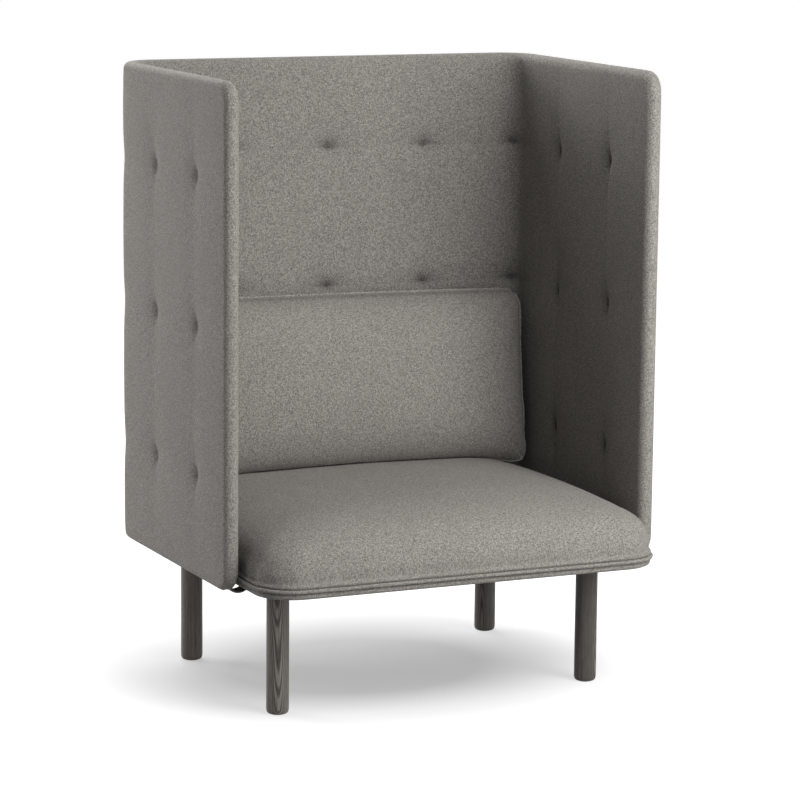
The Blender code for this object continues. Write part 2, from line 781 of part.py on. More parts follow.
def bolt(name, place, seat_level, top):
    """Pan-head bolt driven upward; its head bears on seat_level."""
    radius = BOLT_DIAMETER / 2
    head = BOLT_HEAD_DIAMETER / 2
    rounding = BOLT_HEAD_HEIGHT / 2
    under = seat_level - CLEAR
    lathe(name, [
        (0.0, top),
        (radius, top),
        (radius, under),
        (head, under),
        (head, under - rounding),
        (head - rounding, under - BOLT_HEAD_HEIGHT),
        (0.0, under - BOLT_HEAD_HEIGHT),
    ], zinc_steel(), place, SMALL_LATHE_STEPS)


def straps(strap_holes):
    deck_places = along_straps(-STRAP_DECK_BOLT)
    core_places = along_straps(PAD_HALF)
    for name, (x, y, turn) in strap_places().items():
        strap("strap_" + name, (x, y), turn, strap_holes)
        bolt("deck_bolt_" + name, (*deck_places[name], 0.0),
             STRAP_TOP - STRAP_THICK, DECK_BOTTOM + DECK_BOLT_GRIP)
        bolt("core_bolt_" + name, (*core_places[name], 0.0),
             STRAP_TOP - STRAP_THICK, CORE_BOTTOM + CORE_BOLT_GRIP)


# Holes that the bolts and the leg plates pass through

def hole_cutter(name, groups, bottom, top):
    """Rods for all the holes of one kind of piece; groups pair places with a diameter."""
    bm = bmesh.new()
    for places, diameter in groups:
        rods(bm, places, diameter + 2 * CLEAR, bottom, top)
    return add_object(name, bm, None)


def hole_cutters():
    deck_bolts = (list(along_straps(-STRAP_DECK_BOLT).values()), BOLT_DIAMETER)
    core_bolts = (list(along_straps(PAD_HALF).values()), BOLT_DIAMETER)
    barrels = (list(leg_places().values()), BARREL_DIAMETER)
    low = SCREEN_BOTTOM - 3 * CUT_OVER
    return {
        "core": hole_cutter("core_holes", [core_bolts], low, CORE_BOTTOM + CORE_BOLT_GRIP + CLEAR),
        "deck": hole_cutter("deck_holes", [deck_bolts, barrels], low, DECK_TOP + CUT_OVER),
        "strap": hole_cutter("strap_holes", [deck_bolts, core_bolts], low, SEAT_UNDERSIDE),
    }


def lounge_armchair():
    clear_scene()
    holes = hole_cutters()
    screen(holes["core"])
    cushion = seat(holes["deck"])
    lumbar_cushion(cushion)
    legs()
    straps(holes["strap"])


lounge_armchair()
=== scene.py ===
# %% [markdown]
# # A high-back lounge armchair, dressed
#
# The chair has a tall screen on three sides, tufted through both faces, a crowned seat with
# piping round its foot, a loose lumbar cushion and four round legs of stained ash.
# The solids come ready made in one fixed frame. This lesson dresses them: it puts soft forms
# over the plain soft solids, gives every surface a finish and sets up the picture.

# %% Load the solids
import json
import math

import bmesh
import bpy
from mathutils import Matrix, Vector, noise
from mathutils.bvhtree import BVHTree
from mathutils.kdtree import KDTree

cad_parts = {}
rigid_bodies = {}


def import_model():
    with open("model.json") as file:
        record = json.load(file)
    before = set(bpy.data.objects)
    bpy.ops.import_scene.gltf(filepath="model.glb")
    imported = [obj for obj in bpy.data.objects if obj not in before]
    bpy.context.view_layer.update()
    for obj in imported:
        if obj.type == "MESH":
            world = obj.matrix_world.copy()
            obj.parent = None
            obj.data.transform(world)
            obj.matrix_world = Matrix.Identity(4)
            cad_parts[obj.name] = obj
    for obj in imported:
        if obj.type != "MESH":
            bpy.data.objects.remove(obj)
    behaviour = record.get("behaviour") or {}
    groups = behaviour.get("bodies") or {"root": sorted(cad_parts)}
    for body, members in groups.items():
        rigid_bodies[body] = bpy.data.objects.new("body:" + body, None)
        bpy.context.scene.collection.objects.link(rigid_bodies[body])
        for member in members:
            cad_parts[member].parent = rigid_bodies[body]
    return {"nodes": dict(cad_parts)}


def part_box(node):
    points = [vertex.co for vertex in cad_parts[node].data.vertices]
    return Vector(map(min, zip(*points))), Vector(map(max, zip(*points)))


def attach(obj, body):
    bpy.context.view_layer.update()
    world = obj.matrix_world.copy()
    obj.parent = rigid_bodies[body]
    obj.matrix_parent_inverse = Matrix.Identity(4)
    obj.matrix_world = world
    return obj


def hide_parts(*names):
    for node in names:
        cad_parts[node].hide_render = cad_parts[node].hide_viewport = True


for leftover in list(bpy.data.objects):
    bpy.data.objects.remove(leftover, do_unlink=True)
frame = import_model()
bpy.context.view_layer.update()
scene = bpy.context.scene

# %% [markdown]
# ## The camera
#
# The photograph was taken with a long lens from the front left, a little above the screen's top.
# A long lens keeps the upright edges parallel. The place and the three turns below were found by
# matching the corners of the chair, so the picture lines up without any shift of the lens.

# %% Camera
CAMERA_PLACE = Vector((-2.9293, -6.4262, 1.8169))
CAMERA_YAW = 0.4295
CAMERA_PITCH = 0.1700
CAMERA_ROLL = 0.0099
CAMERA_LENS = 149.41

ahead = Vector((math.sin(CAMERA_YAW) * math.cos(CAMERA_PITCH),
                math.cos(CAMERA_YAW) * math.cos(CAMERA_PITCH),
                -math.sin(CAMERA_PITCH)))
level = Vector((math.cos(CAMERA_YAW), -math.sin(CAMERA_YAW), 0.0))
upright = level.cross(ahead)
right = level * math.cos(CAMERA_ROLL) + upright * math.sin(CAMERA_ROLL)
over = upright * math.cos(CAMERA_ROLL) - level * math.sin(CAMERA_ROLL)
lens = bpy.data.cameras.new("photo_camera")
lens.lens = CAMERA_LENS
lens.sensor_width = 36.0
lens.clip_end = 200.0
camera = bpy.data.objects.new("photo_camera", lens)
turn = Matrix((right, over, -ahead)).transposed().to_4x4()
camera.matrix_world = Matrix.Translation(CAMERA_PLACE) @ turn
scene.collection.objects.link(camera)
scene.camera = camera
print("camera", [round(value, 3) for value in CAMERA_PLACE])

# %% [markdown]
# ## Finishes as expressions
#
# A finish is a small graph of nodes. Building it node by node hides the idea, so one class wraps a
# socket and lets Python's own operators add the Math nodes: `1 - grain * 0.3` reads as it is meant.
# One method adds every other kind of node, sets it up and plugs in its values.

# %% Wire and Finish
class Wire:
    """An output socket that takes part in sums."""

    def __init__(self, finish, socket):
        self.finish = finish
        self.socket = socket

    def sum(self, operation, first, second):
        return self.finish.add("Math", {"operation": operation}, {0: first, 1: second})

    def __add__(self, other):
        return self.sum("ADD", self, other)

    def __radd__(self, other):
        return self.sum("ADD", other, self)

    def __sub__(self, other):
        return self.sum("SUBTRACT", self, other)

    def __rsub__(self, other):
        return self.sum("SUBTRACT", other, self)

    def __mul__(self, other):
        return self.sum("MULTIPLY", self, other)

    def __rmul__(self, other):
        return self.sum("MULTIPLY", other, self)

    def __pow__(self, other):
        return self.sum("POWER", self, other)


class Finish:
    """A new material; its nodes come from add()."""

    def __init__(self, name):
        self.material = bpy.data.materials.new(name)
        self.material.use_nodes = True
        self.nodes = self.material.node_tree.nodes
        self.links = self.material.node_tree.links
        self.shader = self.nodes["Principled BSDF"]

    def plug(self, socket, value):
        if isinstance(value, Wire):
            self.links.new(value.socket, socket)
        else:
            socket.default_value = value

    def add(self, kind, settings=None, sockets=None, out=0):
        node = self.nodes.new("ShaderNode" + kind)
        for name, value in (settings or {}).items():
            setattr(node, name, value)
        for name, value in (sockets or {}).items():
            self.plug(node.inputs[name], value)
        return Wire(self, node.outputs[out])

    def place(self, scale=(1.0, 1.0, 1.0)):
        """The object's own coordinates in metres, times a scale along each axis."""
        spot = self.add("TexCoord", out=3)
        return self.add("VectorMath", {"operation": "MULTIPLY"}, {0: spot, 1: scale})

    def grain(self, scale, detail=2.0, roughness=0.55):
        """Cloudy noise from 0 to 1, with a size of its own along each axis."""
        return self.add("TexNoise", {}, {"Vector": self.place(scale), "Scale": 1.0,
                                         "Detail": detail, "Roughness": roughness})

    def between(self, value, low, high):
        """A value's way from low to high as 0 to 1, held at both ends."""
        return self.add("MapRange", {"clamp": True}, {0: value, 1: low, 2: high, 3: 0.0, 4: 1.0})

    def blend(self, share, first, second):
        """A colour share of the way from the first to the second."""
        settings = {"data_type": "RGBA", "clamp_factor": True}
        return self.add("Mix", settings, {0: share, 6: first, 7: second}, out=2)

    def darken(self, colour, value):
        """A colour times a grey value."""
        grey = self.add("CombineColor", {}, {0: value, 1: value, 2: value})
        settings = {"data_type": "RGBA", "blend_type": "MULTIPLY"}
        return self.add("Mix", settings, {0: 1.0, 6: colour, 7: grey}, out=2)

    def attribute(self, name):
        """A value painted on the mesh's points, 0 where none is painted."""
        return self.add("Attribute", {"attribute_name": name}, out=2)

    def relief(self, height, depth, strength):
        """Bump the surface; a height of 1 stands for the depth in metres."""
        bump = self.add("Bump", {}, {"Height": height, "Distance": depth, "Strength": strength})
        self.plug(self.shader.inputs["Normal"], bump)

    def set(self, **sockets):
        """Plug what changes over the surface into the shader."""
        for name, value in sockets.items():
            self.plug(self.shader.inputs[name.replace("_", " ").title()], value)

    def fix(self, values):
        """Set the shader's sockets that stay the same all over the surface."""
        for name, value in values.items():
            self.shader.inputs[name].default_value = value


print("finishes are ready to be written as expressions")

# %% [markdown]
# ## Heathered wool
#
# The cover is a dense woven wool in a warm mid grey. Each yarn is spun from pale and dark fibres, so
# the cloth is flecked at one to three millimetres. Noises stretched along warp and weft stand for the
# yarns, once at their own size and once twice as large, and another noise mottles the tone.
# Broad, weak clouds keep a large panel from looking printed. Two values painted on the meshes change
# the tone: one is painted shade in and round the tufts and along a line inside the lumbar's seam, the
# other makes the screen's edges and the seam's roll paler, as wear and as painted light.

# %% Wool
FINE = 1150.0
LONG = 420.0
WOOL_PALE = (0.325, 0.309, 0.283)
WOOL_DARK = (0.083, 0.079, 0.071)
SLUB_PALE = [shade * 1.5 for shade in WOOL_PALE]
SLUBS = (420.0, 420.0, 420.0)
CLOUDS = (7.0, 7.0, 7.0)
WOOL_TONE = 0.65
CLOUD_TONE = 0.14
MOTTLE_TONE = 0.56
PAINTED_SHADE_STRENGTH = 0.55
WEAR_AND_LIGHT_PALER = 0.07
WOOL_NAP = 0.0009


def wool(name, warp, weft, mottling):
    """A cloth from the scales of its yarns and of its mottling, each given along x, y and z."""
    finish = Finish(name)
    yarn = finish.grain(warp, 2.0, 0.6) * 0.5 + finish.grain(weft, 2.0, 0.6) * 0.5
    broad_warp = finish.grain([scale * 0.5 for scale in warp], 1.0)
    broad_weft = finish.grain([scale * 0.5 for scale in weft], 1.0)
    heather = broad_warp + broad_weft
    fleck = finish.between(yarn, 0.40, 0.60) * 0.4 + finish.between(heather, 0.78, 1.22) * 0.6
    cloud = finish.grain(CLOUDS, 3.0)
    mottle = finish.grain(mottling, 1.0)
    slub = finish.between(finish.grain(SLUBS, 1.0), 0.60, 0.72)
    colour = finish.blend(fleck, (*WOOL_DARK, 1.0), (*WOOL_PALE, 1.0))
    colour = finish.blend(slub * 0.35, colour, (*SLUB_PALE, 1.0))
    tone = WOOL_TONE + cloud * CLOUD_TONE + mottle * MOTTLE_TONE
    # Painted shade darkens the tufts and a line inside the lumbar's seam.
    tone = tone * (1.0 - finish.attribute("painted_shade") * PAINTED_SHADE_STRENGTH)
    # Edges and the seam's roll are painted paler, as wear and as painted light.
    tone = tone * (1.0 + finish.attribute("wear_and_painted_light") * WEAR_AND_LIGHT_PALER)
    finish.set(base_color=finish.darken(colour, tone), roughness=0.84 + fleck * 0.12)
    finish.fix({"Specular IOR Level": 0.25, "Sheen Weight": 0.09, "Sheen Roughness": 0.5,
                "Sheen Tint": (0.80, 0.78, 0.74, 1.0)})
    finish.relief(fleck + mottle * 0.6, WOOL_NAP, 0.6)
    return finish.material


screen_wool = wool("screen_wool", (FINE, FINE, LONG), (LONG, LONG, FINE), (520.0, 230.0, 520.0))
seat_wool = wool("seat_wool", (FINE, LONG, LONG), (LONG, FINE, FINE), (480.0, 110.0, 480.0))
lumbar_wool = wool("lumbar_wool", (FINE, FINE, LONG), (LONG, LONG, FINE), (500.0, 500.0, 500.0))
print("wool:", screen_wool.name, seat_wool.name, lumbar_wool.name)

# %% [markdown]
# ## Stained ash
#
# Ash shows wide growth rings. Cut along the trunk, the rings run as streaks and long arches, and the
# open pores of the early wood drink more of the stain. The rings here are circles round a pith that
# passes beside the leg at a slight slant, so the round leg cuts through them as a real one does. Each
# leg comes from another board: the pith lies to another side of it. The left legs are painted paler
# and the right legs darker, as painted light and shade.

# %% Ash
LEG_LOW, LEG_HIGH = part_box("leg_front_right")
LEG_X = (LEG_LOW.x + LEG_HIGH.x) / 2
LEG_FRONT_Y = (LEG_LOW.y + LEG_HIGH.y) / 2
LEG_REAR_Y = sum(corner.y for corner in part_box("leg_rear_right")) / 2
PITH_TURN = -1.4
PITH_TURN_SIDE = 0.6
PITH_TURN_REAR = 1.6
PITH_AWAY = 0.060
PITH_SLANT = 0.026
PITH_SWAY = 0.009
RING_WAVE = 4600.0
RING_DRIFT = 2.0
ASH_EARLY = (0.052, 0.046, 0.040, 1.0)
ASH_LATE = (0.190, 0.175, 0.155, 1.0)
ASH_STREAK = (0.066, 0.060, 0.053, 1.0)
SIDE_PAINTED_LIGHT = 0.28


def stained_ash():
    finish = Finish("stained_ash_grain")
    split = {"Vector": finish.place()}
    x = finish.add("SeparateXYZ", {}, split, out=0)
    y = finish.add("SeparateXYZ", {}, split, out=1)
    z = finish.add("SeparateXYZ", {}, split, out=2)
    behind = finish.add("Math", {"operation": "GREATER_THAN"}, {0: y, 1: 0.0})
    side = finish.add("Math", {"operation": "SIGN"}, {0: x})
    across = x - side * LEG_X
    along = y - LEG_FRONT_Y - behind * (LEG_REAR_Y - LEG_FRONT_Y)
    turn = side * PITH_TURN_SIDE + behind * PITH_TURN_REAR + PITH_TURN
    cosine = finish.add("Math", {"operation": "COSINE"}, {0: turn})
    sine = finish.add("Math", {"operation": "SINE"}, {0: turn})
    sway = finish.grain((12.0, 12.0, 3.0), 2.0) * PITH_SWAY
    depth = across * cosine + along * sine + z * PITH_SLANT + PITH_AWAY + sway
    beside = across * sine - along * cosine
    distance = (depth * depth + beside * beside) ** 0.5
    drift = finish.grain((70.0, 70.0, 3.0), 2.0) * RING_DRIFT
    wave = finish.add("Math", {"operation": "SINE"}, {0: distance * RING_WAVE + drift})
    ring = finish.between(wave, -0.90, 0.50)
    pore = finish.between(finish.grain((1500.0, 1500.0, 38.0), 2.0), 0.52, 0.66)
    streak = finish.grain((330.0, 330.0, 5.0), 3.0)
    colour = finish.blend(ring, ASH_EARLY, ASH_LATE)
    colour = finish.blend(finish.between(streak, 0.40, 0.62) * 0.6, colour, ASH_STREAK)
    # The left legs are painted paler and the right legs darker: painted light and shade.
    tone = (1.0 - pore * (0.25 + (1.0 - ring) * 0.45)) * (1.0 - side * SIDE_PAINTED_LIGHT)
    finish.set(base_color=finish.darken(colour, tone), roughness=0.42 + pore * 0.25)
    finish.fix({"Specular IOR Level": 0.2})
    finish.relief(ring * 0.35 - pore, 0.0004, 0.5)
    return finish.material


ash = stained_ash()
print("ash rings pass beside legs at x", round(LEG_X, 3))

# %% [markdown]
# ## Steel, plastic, board and lining
#
# These hide below the seat, and a part is still looked at from below. Straps and leg plates are
# powder coated, with the finely pebbled skin of baked powder. Bolts and staples are zinc plated.
# Glides are moulded plastic. The core and the deck are plywood: plies show along their edges.
# The lining under the seat is a black felted sheet with a pressed dot pattern.

# %% Hardware finishes
def powder_coat():
    finish = Finish("powder_coat")
    skin = finish.grain((900.0, 900.0, 900.0), 2.0)
    scuff = finish.between(finish.grain((60.0, 60.0, 60.0), 4.0, 0.7), 0.60, 0.75)
    colour = finish.blend(scuff * 0.4, (0.030, 0.030, 0.031, 1.0), (0.085, 0.083, 0.080, 1.0))
    finish.set(base_color=colour, roughness=0.46 + scuff * 0.2)
    finish.relief(skin, 0.0003, 0.35)
    return finish.material


def zinc_plate():
    finish = Finish("zinc_plate")
    bloom = finish.grain((240.0, 240.0, 240.0), 3.0)
    colour = finish.blend(bloom, (0.50, 0.50, 0.52, 1.0), (0.66, 0.65, 0.62, 1.0))
    finish.set(base_color=colour, roughness=0.28 + bloom * 0.2)
    finish.fix({"Metallic": 1.0})
    finish.relief(bloom, 0.0001, 0.4)
    return finish.material


def glide_plastic():
    finish = Finish("moulded_plastic")
    skin = finish.grain((1400.0, 1400.0, 1400.0), 2.0)
    wear = finish.between(finish.grain((90.0, 90.0, 90.0), 3.0), 0.55, 0.75)
    colour = finish.blend(wear * 0.5, (0.022, 0.022, 0.022, 1.0), (0.060, 0.058, 0.055, 1.0))
    finish.set(base_color=colour, roughness=0.50 + wear * 0.2)
    finish.relief(skin, 0.0002, 0.4)
    return finish.material


def plywood():
    finish = Finish("birch_plywood")
    z = finish.add("SeparateXYZ", {}, {"Vector": finish.place()}, out=2)
    ply = finish.add("Math", {"operation": "SINE"}, {0: z * 2200.0})
    figure = finish.grain((22.0, 240.0, 240.0), 3.0)
    colour = finish.blend(figure, (0.36, 0.25, 0.15, 1.0), (0.56, 0.42, 0.28, 1.0))
    tone = 0.88 + finish.between(ply, -0.2, 0.2) * 0.12
    finish.set(base_color=finish.darken(colour, tone), roughness=0.62 + figure * 0.15)
    finish.relief(figure, 0.0002, 0.4)
    return finish.material


def felt_lining():
    finish = Finish("felt_lining")
    dots = finish.add("TexVoronoi", {"feature": "F1"}, {"Vector": finish.place((330.0, 330.0, 330.0)),
                                                         "Scale": 1.0, "Randomness": 0.15})
    press = finish.between(dots, 0.18, 0.34)
    lint = finish.grain((500.0, 120.0, 300.0), 3.0)
    colour = finish.blend(lint, (0.012, 0.012, 0.013, 1.0), (0.034, 0.034, 0.035, 1.0))
    finish.set(base_color=colour, roughness=0.80 + press * 0.12)
    finish.relief(press + lint * 0.5, 0.0003, 0.6)
    return finish.material


coat = powder_coat()
zinc = zinc_plate()
plastic = glide_plastic()
board = plywood()
lining = felt_lining()
print("hardware finishes:", coat.name, zinc.name, plastic.name, board.name, lining.name)

# %% [markdown]
# ## Handing over a piece
#
# Every new piece is finished the same way: the edit mesh becomes an object at the origin, its faces
# are shaded smooth up to a crease angle, and it rides on the body of the solids that it stands for.

# %% Helpers for new pieces
def mesh_object(name, bm):
    """An object in the scene from an edit mesh, which is freed."""
    mesh = bpy.data.meshes.new(name)
    bm.to_mesh(mesh)
    bm.free()
    obj = bpy.data.objects.new(name, mesh)
    scene.collection.objects.link(obj)
    return obj


def piece(name, bm, surface, body="chair", stands_for=(), crease=40.0):
    """A finished piece of the chair from an edit mesh."""
    obj = mesh_object(name, bm)
    obj.data.materials.append(surface)
    smooth(obj, crease)
    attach(obj, body)
    if stands_for:
        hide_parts(*stands_for)
    return obj


def smooth(obj, crease):
    """Shade smooth, except across edges sharper than the crease angle."""
    obj.data.polygons.foreach_set("use_smooth", [True] * len(obj.data.polygons))
    obj.data.set_sharp_from_angle(angle=math.radians(crease))


def bell(distance, reach):
    """Falls off from 1 like a bell."""
    return math.exp(-(distance / reach) ** 2)


# %% [markdown]
# ## The screen's plan
#
# The screen is one pad bent round three sides. A place on it is told by two numbers: how far it lies
# along the middle line, from the left front edge round to the right one, and how high it is. The
# boxes of the solids give the outside sizes, so the cover always fits over the board in the pad.

# %% Screen plan
LEFT_LOW, LEFT_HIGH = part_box("screen_pad_left")
BACK_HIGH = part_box("screen_pad_back")[1]
CORE_LOW, CORE_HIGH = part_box("screen_core")
PAD_HALF = 0.020
CORNER_OUTSIDE = 0.088
SCREEN_FRONT = LEFT_LOW.y
SCREEN_BOTTOM = LEFT_LOW.z
SCREEN_TOP = LEFT_HIGH.z
MID_HALF_WIDTH = BACK_HIGH.x - PAD_HALF
MID_BACK = BACK_HIGH.y - PAD_HALF
MID_RADIUS = CORNER_OUTSIDE - PAD_HALF
SIDE_LENGTH = MID_BACK - MID_RADIUS - SCREEN_FRONT
ARC_LENGTH = MID_RADIUS * math.pi / 2
SCREEN_LENGTH = 2 * (SIDE_LENGTH + ARC_LENGTH + MID_HALF_WIDTH - MID_RADIUS)


def screen_path(along):
    """Plan place and outward direction on the pad's middle line."""
    if along > SCREEN_LENGTH / 2:
        spot, out = screen_path(SCREEN_LENGTH - along)
        return Vector((-spot.x, spot.y)), Vector((-out.x, out.y))
    if along <= SIDE_LENGTH:
        return Vector((-MID_HALF_WIDTH, SCREEN_FRONT + along)), Vector((-1.0, 0.0))
    if along <= SIDE_LENGTH + ARC_LENGTH:
        angle = (along - SIDE_LENGTH) / MID_RADIUS
        out = Vector((-math.cos(angle), math.sin(angle)))
        centre = Vector((-MID_HALF_WIDTH + MID_RADIUS, MID_BACK - MID_RADIUS))
        return centre + out * MID_RADIUS, out
    run = along - SIDE_LENGTH - ARC_LENGTH
    return Vector((-MID_HALF_WIDTH + MID_RADIUS + run, MID_BACK)), Vector((0.0, 1.0))


print("middle line of the screen:", round(SCREEN_LENGTH, 3), "m")

# %% [markdown]
# ## Tufts
#
# A tuft is a twine through the whole pad that draws both covers together. The cloth sinks into a
# short slit, the foam round it gives way in a bowl, and the cloth between the tufts of a column or a
# row is drawn a little tight, which leaves shallow channels. The outside is drawn into upright slits
# in wide bowls. Inside, the cloth of the back is drawn into level creases, with a short pleat below
# each tuft, and the cloth of the side panels into upright folds.
# A simulated sheet would blur slits this small, so their depth is worked out point by point. Each
# term below is a depth in metres times a fall-off, whose last number is its reach in metres. The
# places where the cloth is drawn deepest, and a wider patch round them, are also darkened with
# painted shade.

# %% Tuft shape
TUFT_ROWS = [1.116, 0.804, 0.492]
TUFT_PITCH = 0.236
FIRST_COLUMN = 0.178
LEFT_COLUMNS = [FIRST_COLUMN, FIRST_COLUMN + TUFT_PITCH, SIDE_LENGTH + ARC_LENGTH / 2]
BACK_COLUMNS = [SCREEN_LENGTH / 2 + TUFT_PITCH * k for k in (-1, 0, 1)]
RIGHT_COLUMNS = [SCREEN_LENGTH - place for place in reversed(LEFT_COLUMNS)]
TUFT_COLUMNS = LEFT_COLUMNS + BACK_COLUMNS + RIGHT_COLUMNS
SIDE_BLEND = 0.08
OUTSIDE = 1
INSIDE = -1


def nearest(value, places):
    """How far a value lies past the nearest of the places."""
    return min((value - place for place in places), key=abs)


def cusp(distance, reach):
    """Falls off from a sharp middle, as cloth does from the point where it is held."""
    return math.exp(-abs(distance) / reach)


def outer_draw(column, row):
    """Outside of the screen, where an upright slit lies in a wide bowl."""
    pit = 0.0042 * bell(column, 0.0125) * math.exp(-abs(row / 0.020) ** 3)
    bowl = 0.0048 * cusp(column, 0.052) * bell(row, 0.038)
    return pit + bowl + 0.0006 * bell(math.hypot(column, row), 0.100)


def inner_draw(column, row):
    """Inside of the back, where a level crease runs through the tufts of a row."""
    pit = 0.0056 * cusp(math.hypot(column * 0.6, row), 0.0100)
    bowl = 0.0032 * bell(math.hypot(column * 0.7, row), 0.026)
    crease = 0.0024 * cusp(row, 0.012) * (0.45 + 0.55 * bell(column, 0.080))
    pillow = 0.0009 * cusp(row, 0.060)
    pleat = 0.0008 * bell(column, 0.0038) * bell(row + 0.013, 0.009)
    return pit + bowl + crease + pillow + pleat


def upright_draw(column, row):
    """Inside of the side panels, where the cloth is drawn into upright folds."""
    pit = 0.0046 * cusp(column, 0.0085) * bell(row, 0.022)
    bowl = 0.0034 * bell(column, 0.026) * bell(row, 0.045)
    fold = 0.0026 * cusp(column, 0.030) * (0.55 + 0.45 * bell(row, 0.14))
    return pit + bowl + fold


def outer_painted_shade(column, row):
    """Painted shade in and round the slits of the outside; the next two do so for the inside."""
    core = 0.45 * bell(math.hypot(column, row * 0.5), 0.009)
    return core + 0.15 * bell(math.hypot(column, row * 0.6), 0.020)


def inner_painted_shade(column, row):
    slit = bell(column, 0.0085) * bell(row, 0.0042)
    # Inside, a wider patch of painted shade lies above each tuft.
    above = 0.22 * bell(math.hypot(column * 0.55, row - 0.016), 0.024)
    return max(slit, 0.7 * bell(math.hypot(column * 0.6, row - 0.005), 0.011)) + above


def upright_painted_shade(column, row):
    slit = 0.9 * bell(column, 0.0045) * bell(row, 0.014)
    return slit + 0.3 * bell(math.hypot(column, row * 0.5), 0.018)


def tuft_draw(along, height, side):
    """How deep the cover is drawn in, and how much painted shade it gets there, from 0 to 1."""
    column = nearest(along, TUFT_COLUMNS)
    row = nearest(height, TUFT_ROWS)
    from_front = min(along, SCREEN_LENGTH - along)
    on_side = min(1.0, max(0.0, (SIDE_LENGTH - from_front) / SIDE_BLEND))
    channel = 0.0022 * bell(column, 0.034) * (0.6 + 0.4 * bell(row, 0.12))
    if side == OUTSIDE:
        return outer_draw(column, row) + channel, outer_painted_shade(column, row)
    draw = inner_draw(column, row) + channel * 0.4
    draw += (upright_draw(column, row) - draw) * on_side
    painted_shade = inner_painted_shade(column, row)
    painted_shade += (upright_painted_shade(column, row) - painted_shade) * on_side
    return draw, min(1.0, painted_shade)


print("tufts on each face:", len(TUFT_COLUMNS) * len(TUFT_ROWS))

# %% [markdown]
# ## The screen's cover
#
# Two grids are laid on each other, one for each face of the pad, and joined along their rims. The
# grid lines crowd together at the tufts and at the edges, where the shape turns quickly. A round
# edge follows from a thickness that falls to nothing at the rim along a full curve.

# %% Screen cover
EDGE_DEPTH = {OUTSIDE: 0.014, INSIDE: 0.020}
EDGE_FULLNESS = {OUTSIDE: 2.3, INSIDE: 2.1}
EDGE_TAPER = {OUTSIDE: 0.0045, INSIDE: 0.0040}
EDGE_LINES = 12
COVER_STEP = 0.015
TAPER_REACH = 0.032
PALER_EDGE_REACH = 0.010
RIPPLE = 0.0006
DRAWN_FROM_EDGE = 0.05
TOP_CORNER = 0.045
BOTTOM_CORNER = 0.046
TUFT_STEPS = (0.0, 0.0016, 0.0032, 0.005, 0.0075, 0.0105, 0.014, 0.018, 0.023, 0.029, 0.037, 0.047)


def crowded_lines(start, end, tufts):
    """Grid places, crowded at tufts and at both ends, and at even steps elsewhere."""
    turns = [math.pi / 2 * k / EDGE_LINES for k in range(EDGE_LINES + 1)]
    rim = [EDGE_DEPTH[INSIDE] * (1 - math.cos(turn)) for turn in turns]
    fixed = {start + step for step in rim} | {end - step for step in rim}
    for tuft in tufts:
        fixed |= {tuft + step for step in TUFT_STEPS} | {tuft - step for step in TUFT_STEPS}
    ordered = sorted(fixed)
    lines = ordered[:1]
    for low, high in zip(ordered, ordered[1:]):
        count = max(1, round((high - low) / COVER_STEP))
        lines += [low + (high - low) * (k + 1) / count for k in range(count)]
    return lines


def round_corner(edge_in, height_in, radius):
    """Draw a place near a square corner onto round rings."""
    across = radius - edge_in
    up = radius - height_in
    if across <= 0.0 or up <= 0.0:
        return edge_in, height_in
    shrink = max(across, up) / math.hypot(across, up)
    return radius - across * shrink, radius - up * shrink


def cover_half(along, height, edge, side):
    """Half the pad's thickness at a place, and how much painted shade it gets."""
    lean = max(0.0, 1.0 - edge / EDGE_DEPTH[side])
    full = EDGE_FULLNESS[side]
    taper = EDGE_TAPER[side] * cusp(edge, TAPER_REACH)
    half = (PAD_HALF - taper) * (1.0 - lean ** full) ** (1 / full)
    draw, painted_shade = tuft_draw(along, height, side)
    ripple = RIPPLE * noise.noise(Vector((along * 6.0, height * 6.0, side * 3.0)))
    return half - min(1.0, edge / DRAWN_FROM_EDGE) * (draw + ripple + RIPPLE), painted_shade


def cover_face(bm, lines, levels, side, shade_layer, paler_layer):
    """One face of the cover as a grid that is bent round the screen's plan."""
    made = bmesh.ops.create_grid(bm, x_segments=len(lines) - 1, y_segments=len(levels) - 1, size=1.0)
    for vert in made["verts"]:
        along = lines[round((vert.co.x + 1) / 2 * (len(lines) - 1))]
        height = levels[round((vert.co.y + 1) / 2 * (len(levels) - 1))]
        near_front = min(along, SCREEN_LENGTH - along)
        near_top = SCREEN_TOP - height
        near_bottom = height - SCREEN_BOTTOM
        edge = min(near_front, near_top, near_bottom)
        half, painted_shade = cover_half(along, height, edge, side)
        front, top = round_corner(near_front, near_top, TOP_CORNER)
        front, bottom = round_corner(front, near_bottom, BOTTOM_CORNER)
        height += (near_top - top) - (near_bottom - bottom)
        shift = front - near_front
        spot, out = screen_path(along + shift if along < SCREEN_LENGTH / 2 else along - shift)
        spot = spot + out * half * side
        vert.co = (spot.x, spot.y, height)
        # Painted shade at the tufts.
        vert[shade_layer] = painted_shade
        # Paler edges, as wear and as painted light.
        vert[paler_layer] = bell(edge, PALER_EDGE_REACH)


def screen_cover():
    bm = bmesh.new()
    painted_shade = bm.verts.layers.float.new("painted_shade")
    wear_and_painted_light = bm.verts.layers.float.new("wear_and_painted_light")
    lines = crowded_lines(0.0, SCREEN_LENGTH, TUFT_COLUMNS)
    levels = crowded_lines(SCREEN_BOTTOM, SCREEN_TOP, TUFT_ROWS)
    for side in (OUTSIDE, INSIDE):
        cover_face(bm, lines, levels, side, painted_shade, wear_and_painted_light)
    bmesh.ops.remove_doubles(bm, verts=bm.verts, dist=1e-6)
    bmesh.ops.recalc_face_normals(bm, faces=bm.faces)
    return bm


cover = screen_cover()
print("screen cover:", len(cover.faces), "faces")

# %% [markdown]
# ## Room for the board
#
# The board stands in a slot in the pad that is open below, and the steel straps reach it through
# notches. Both are cut with one solid each, made a little larger than what goes in.

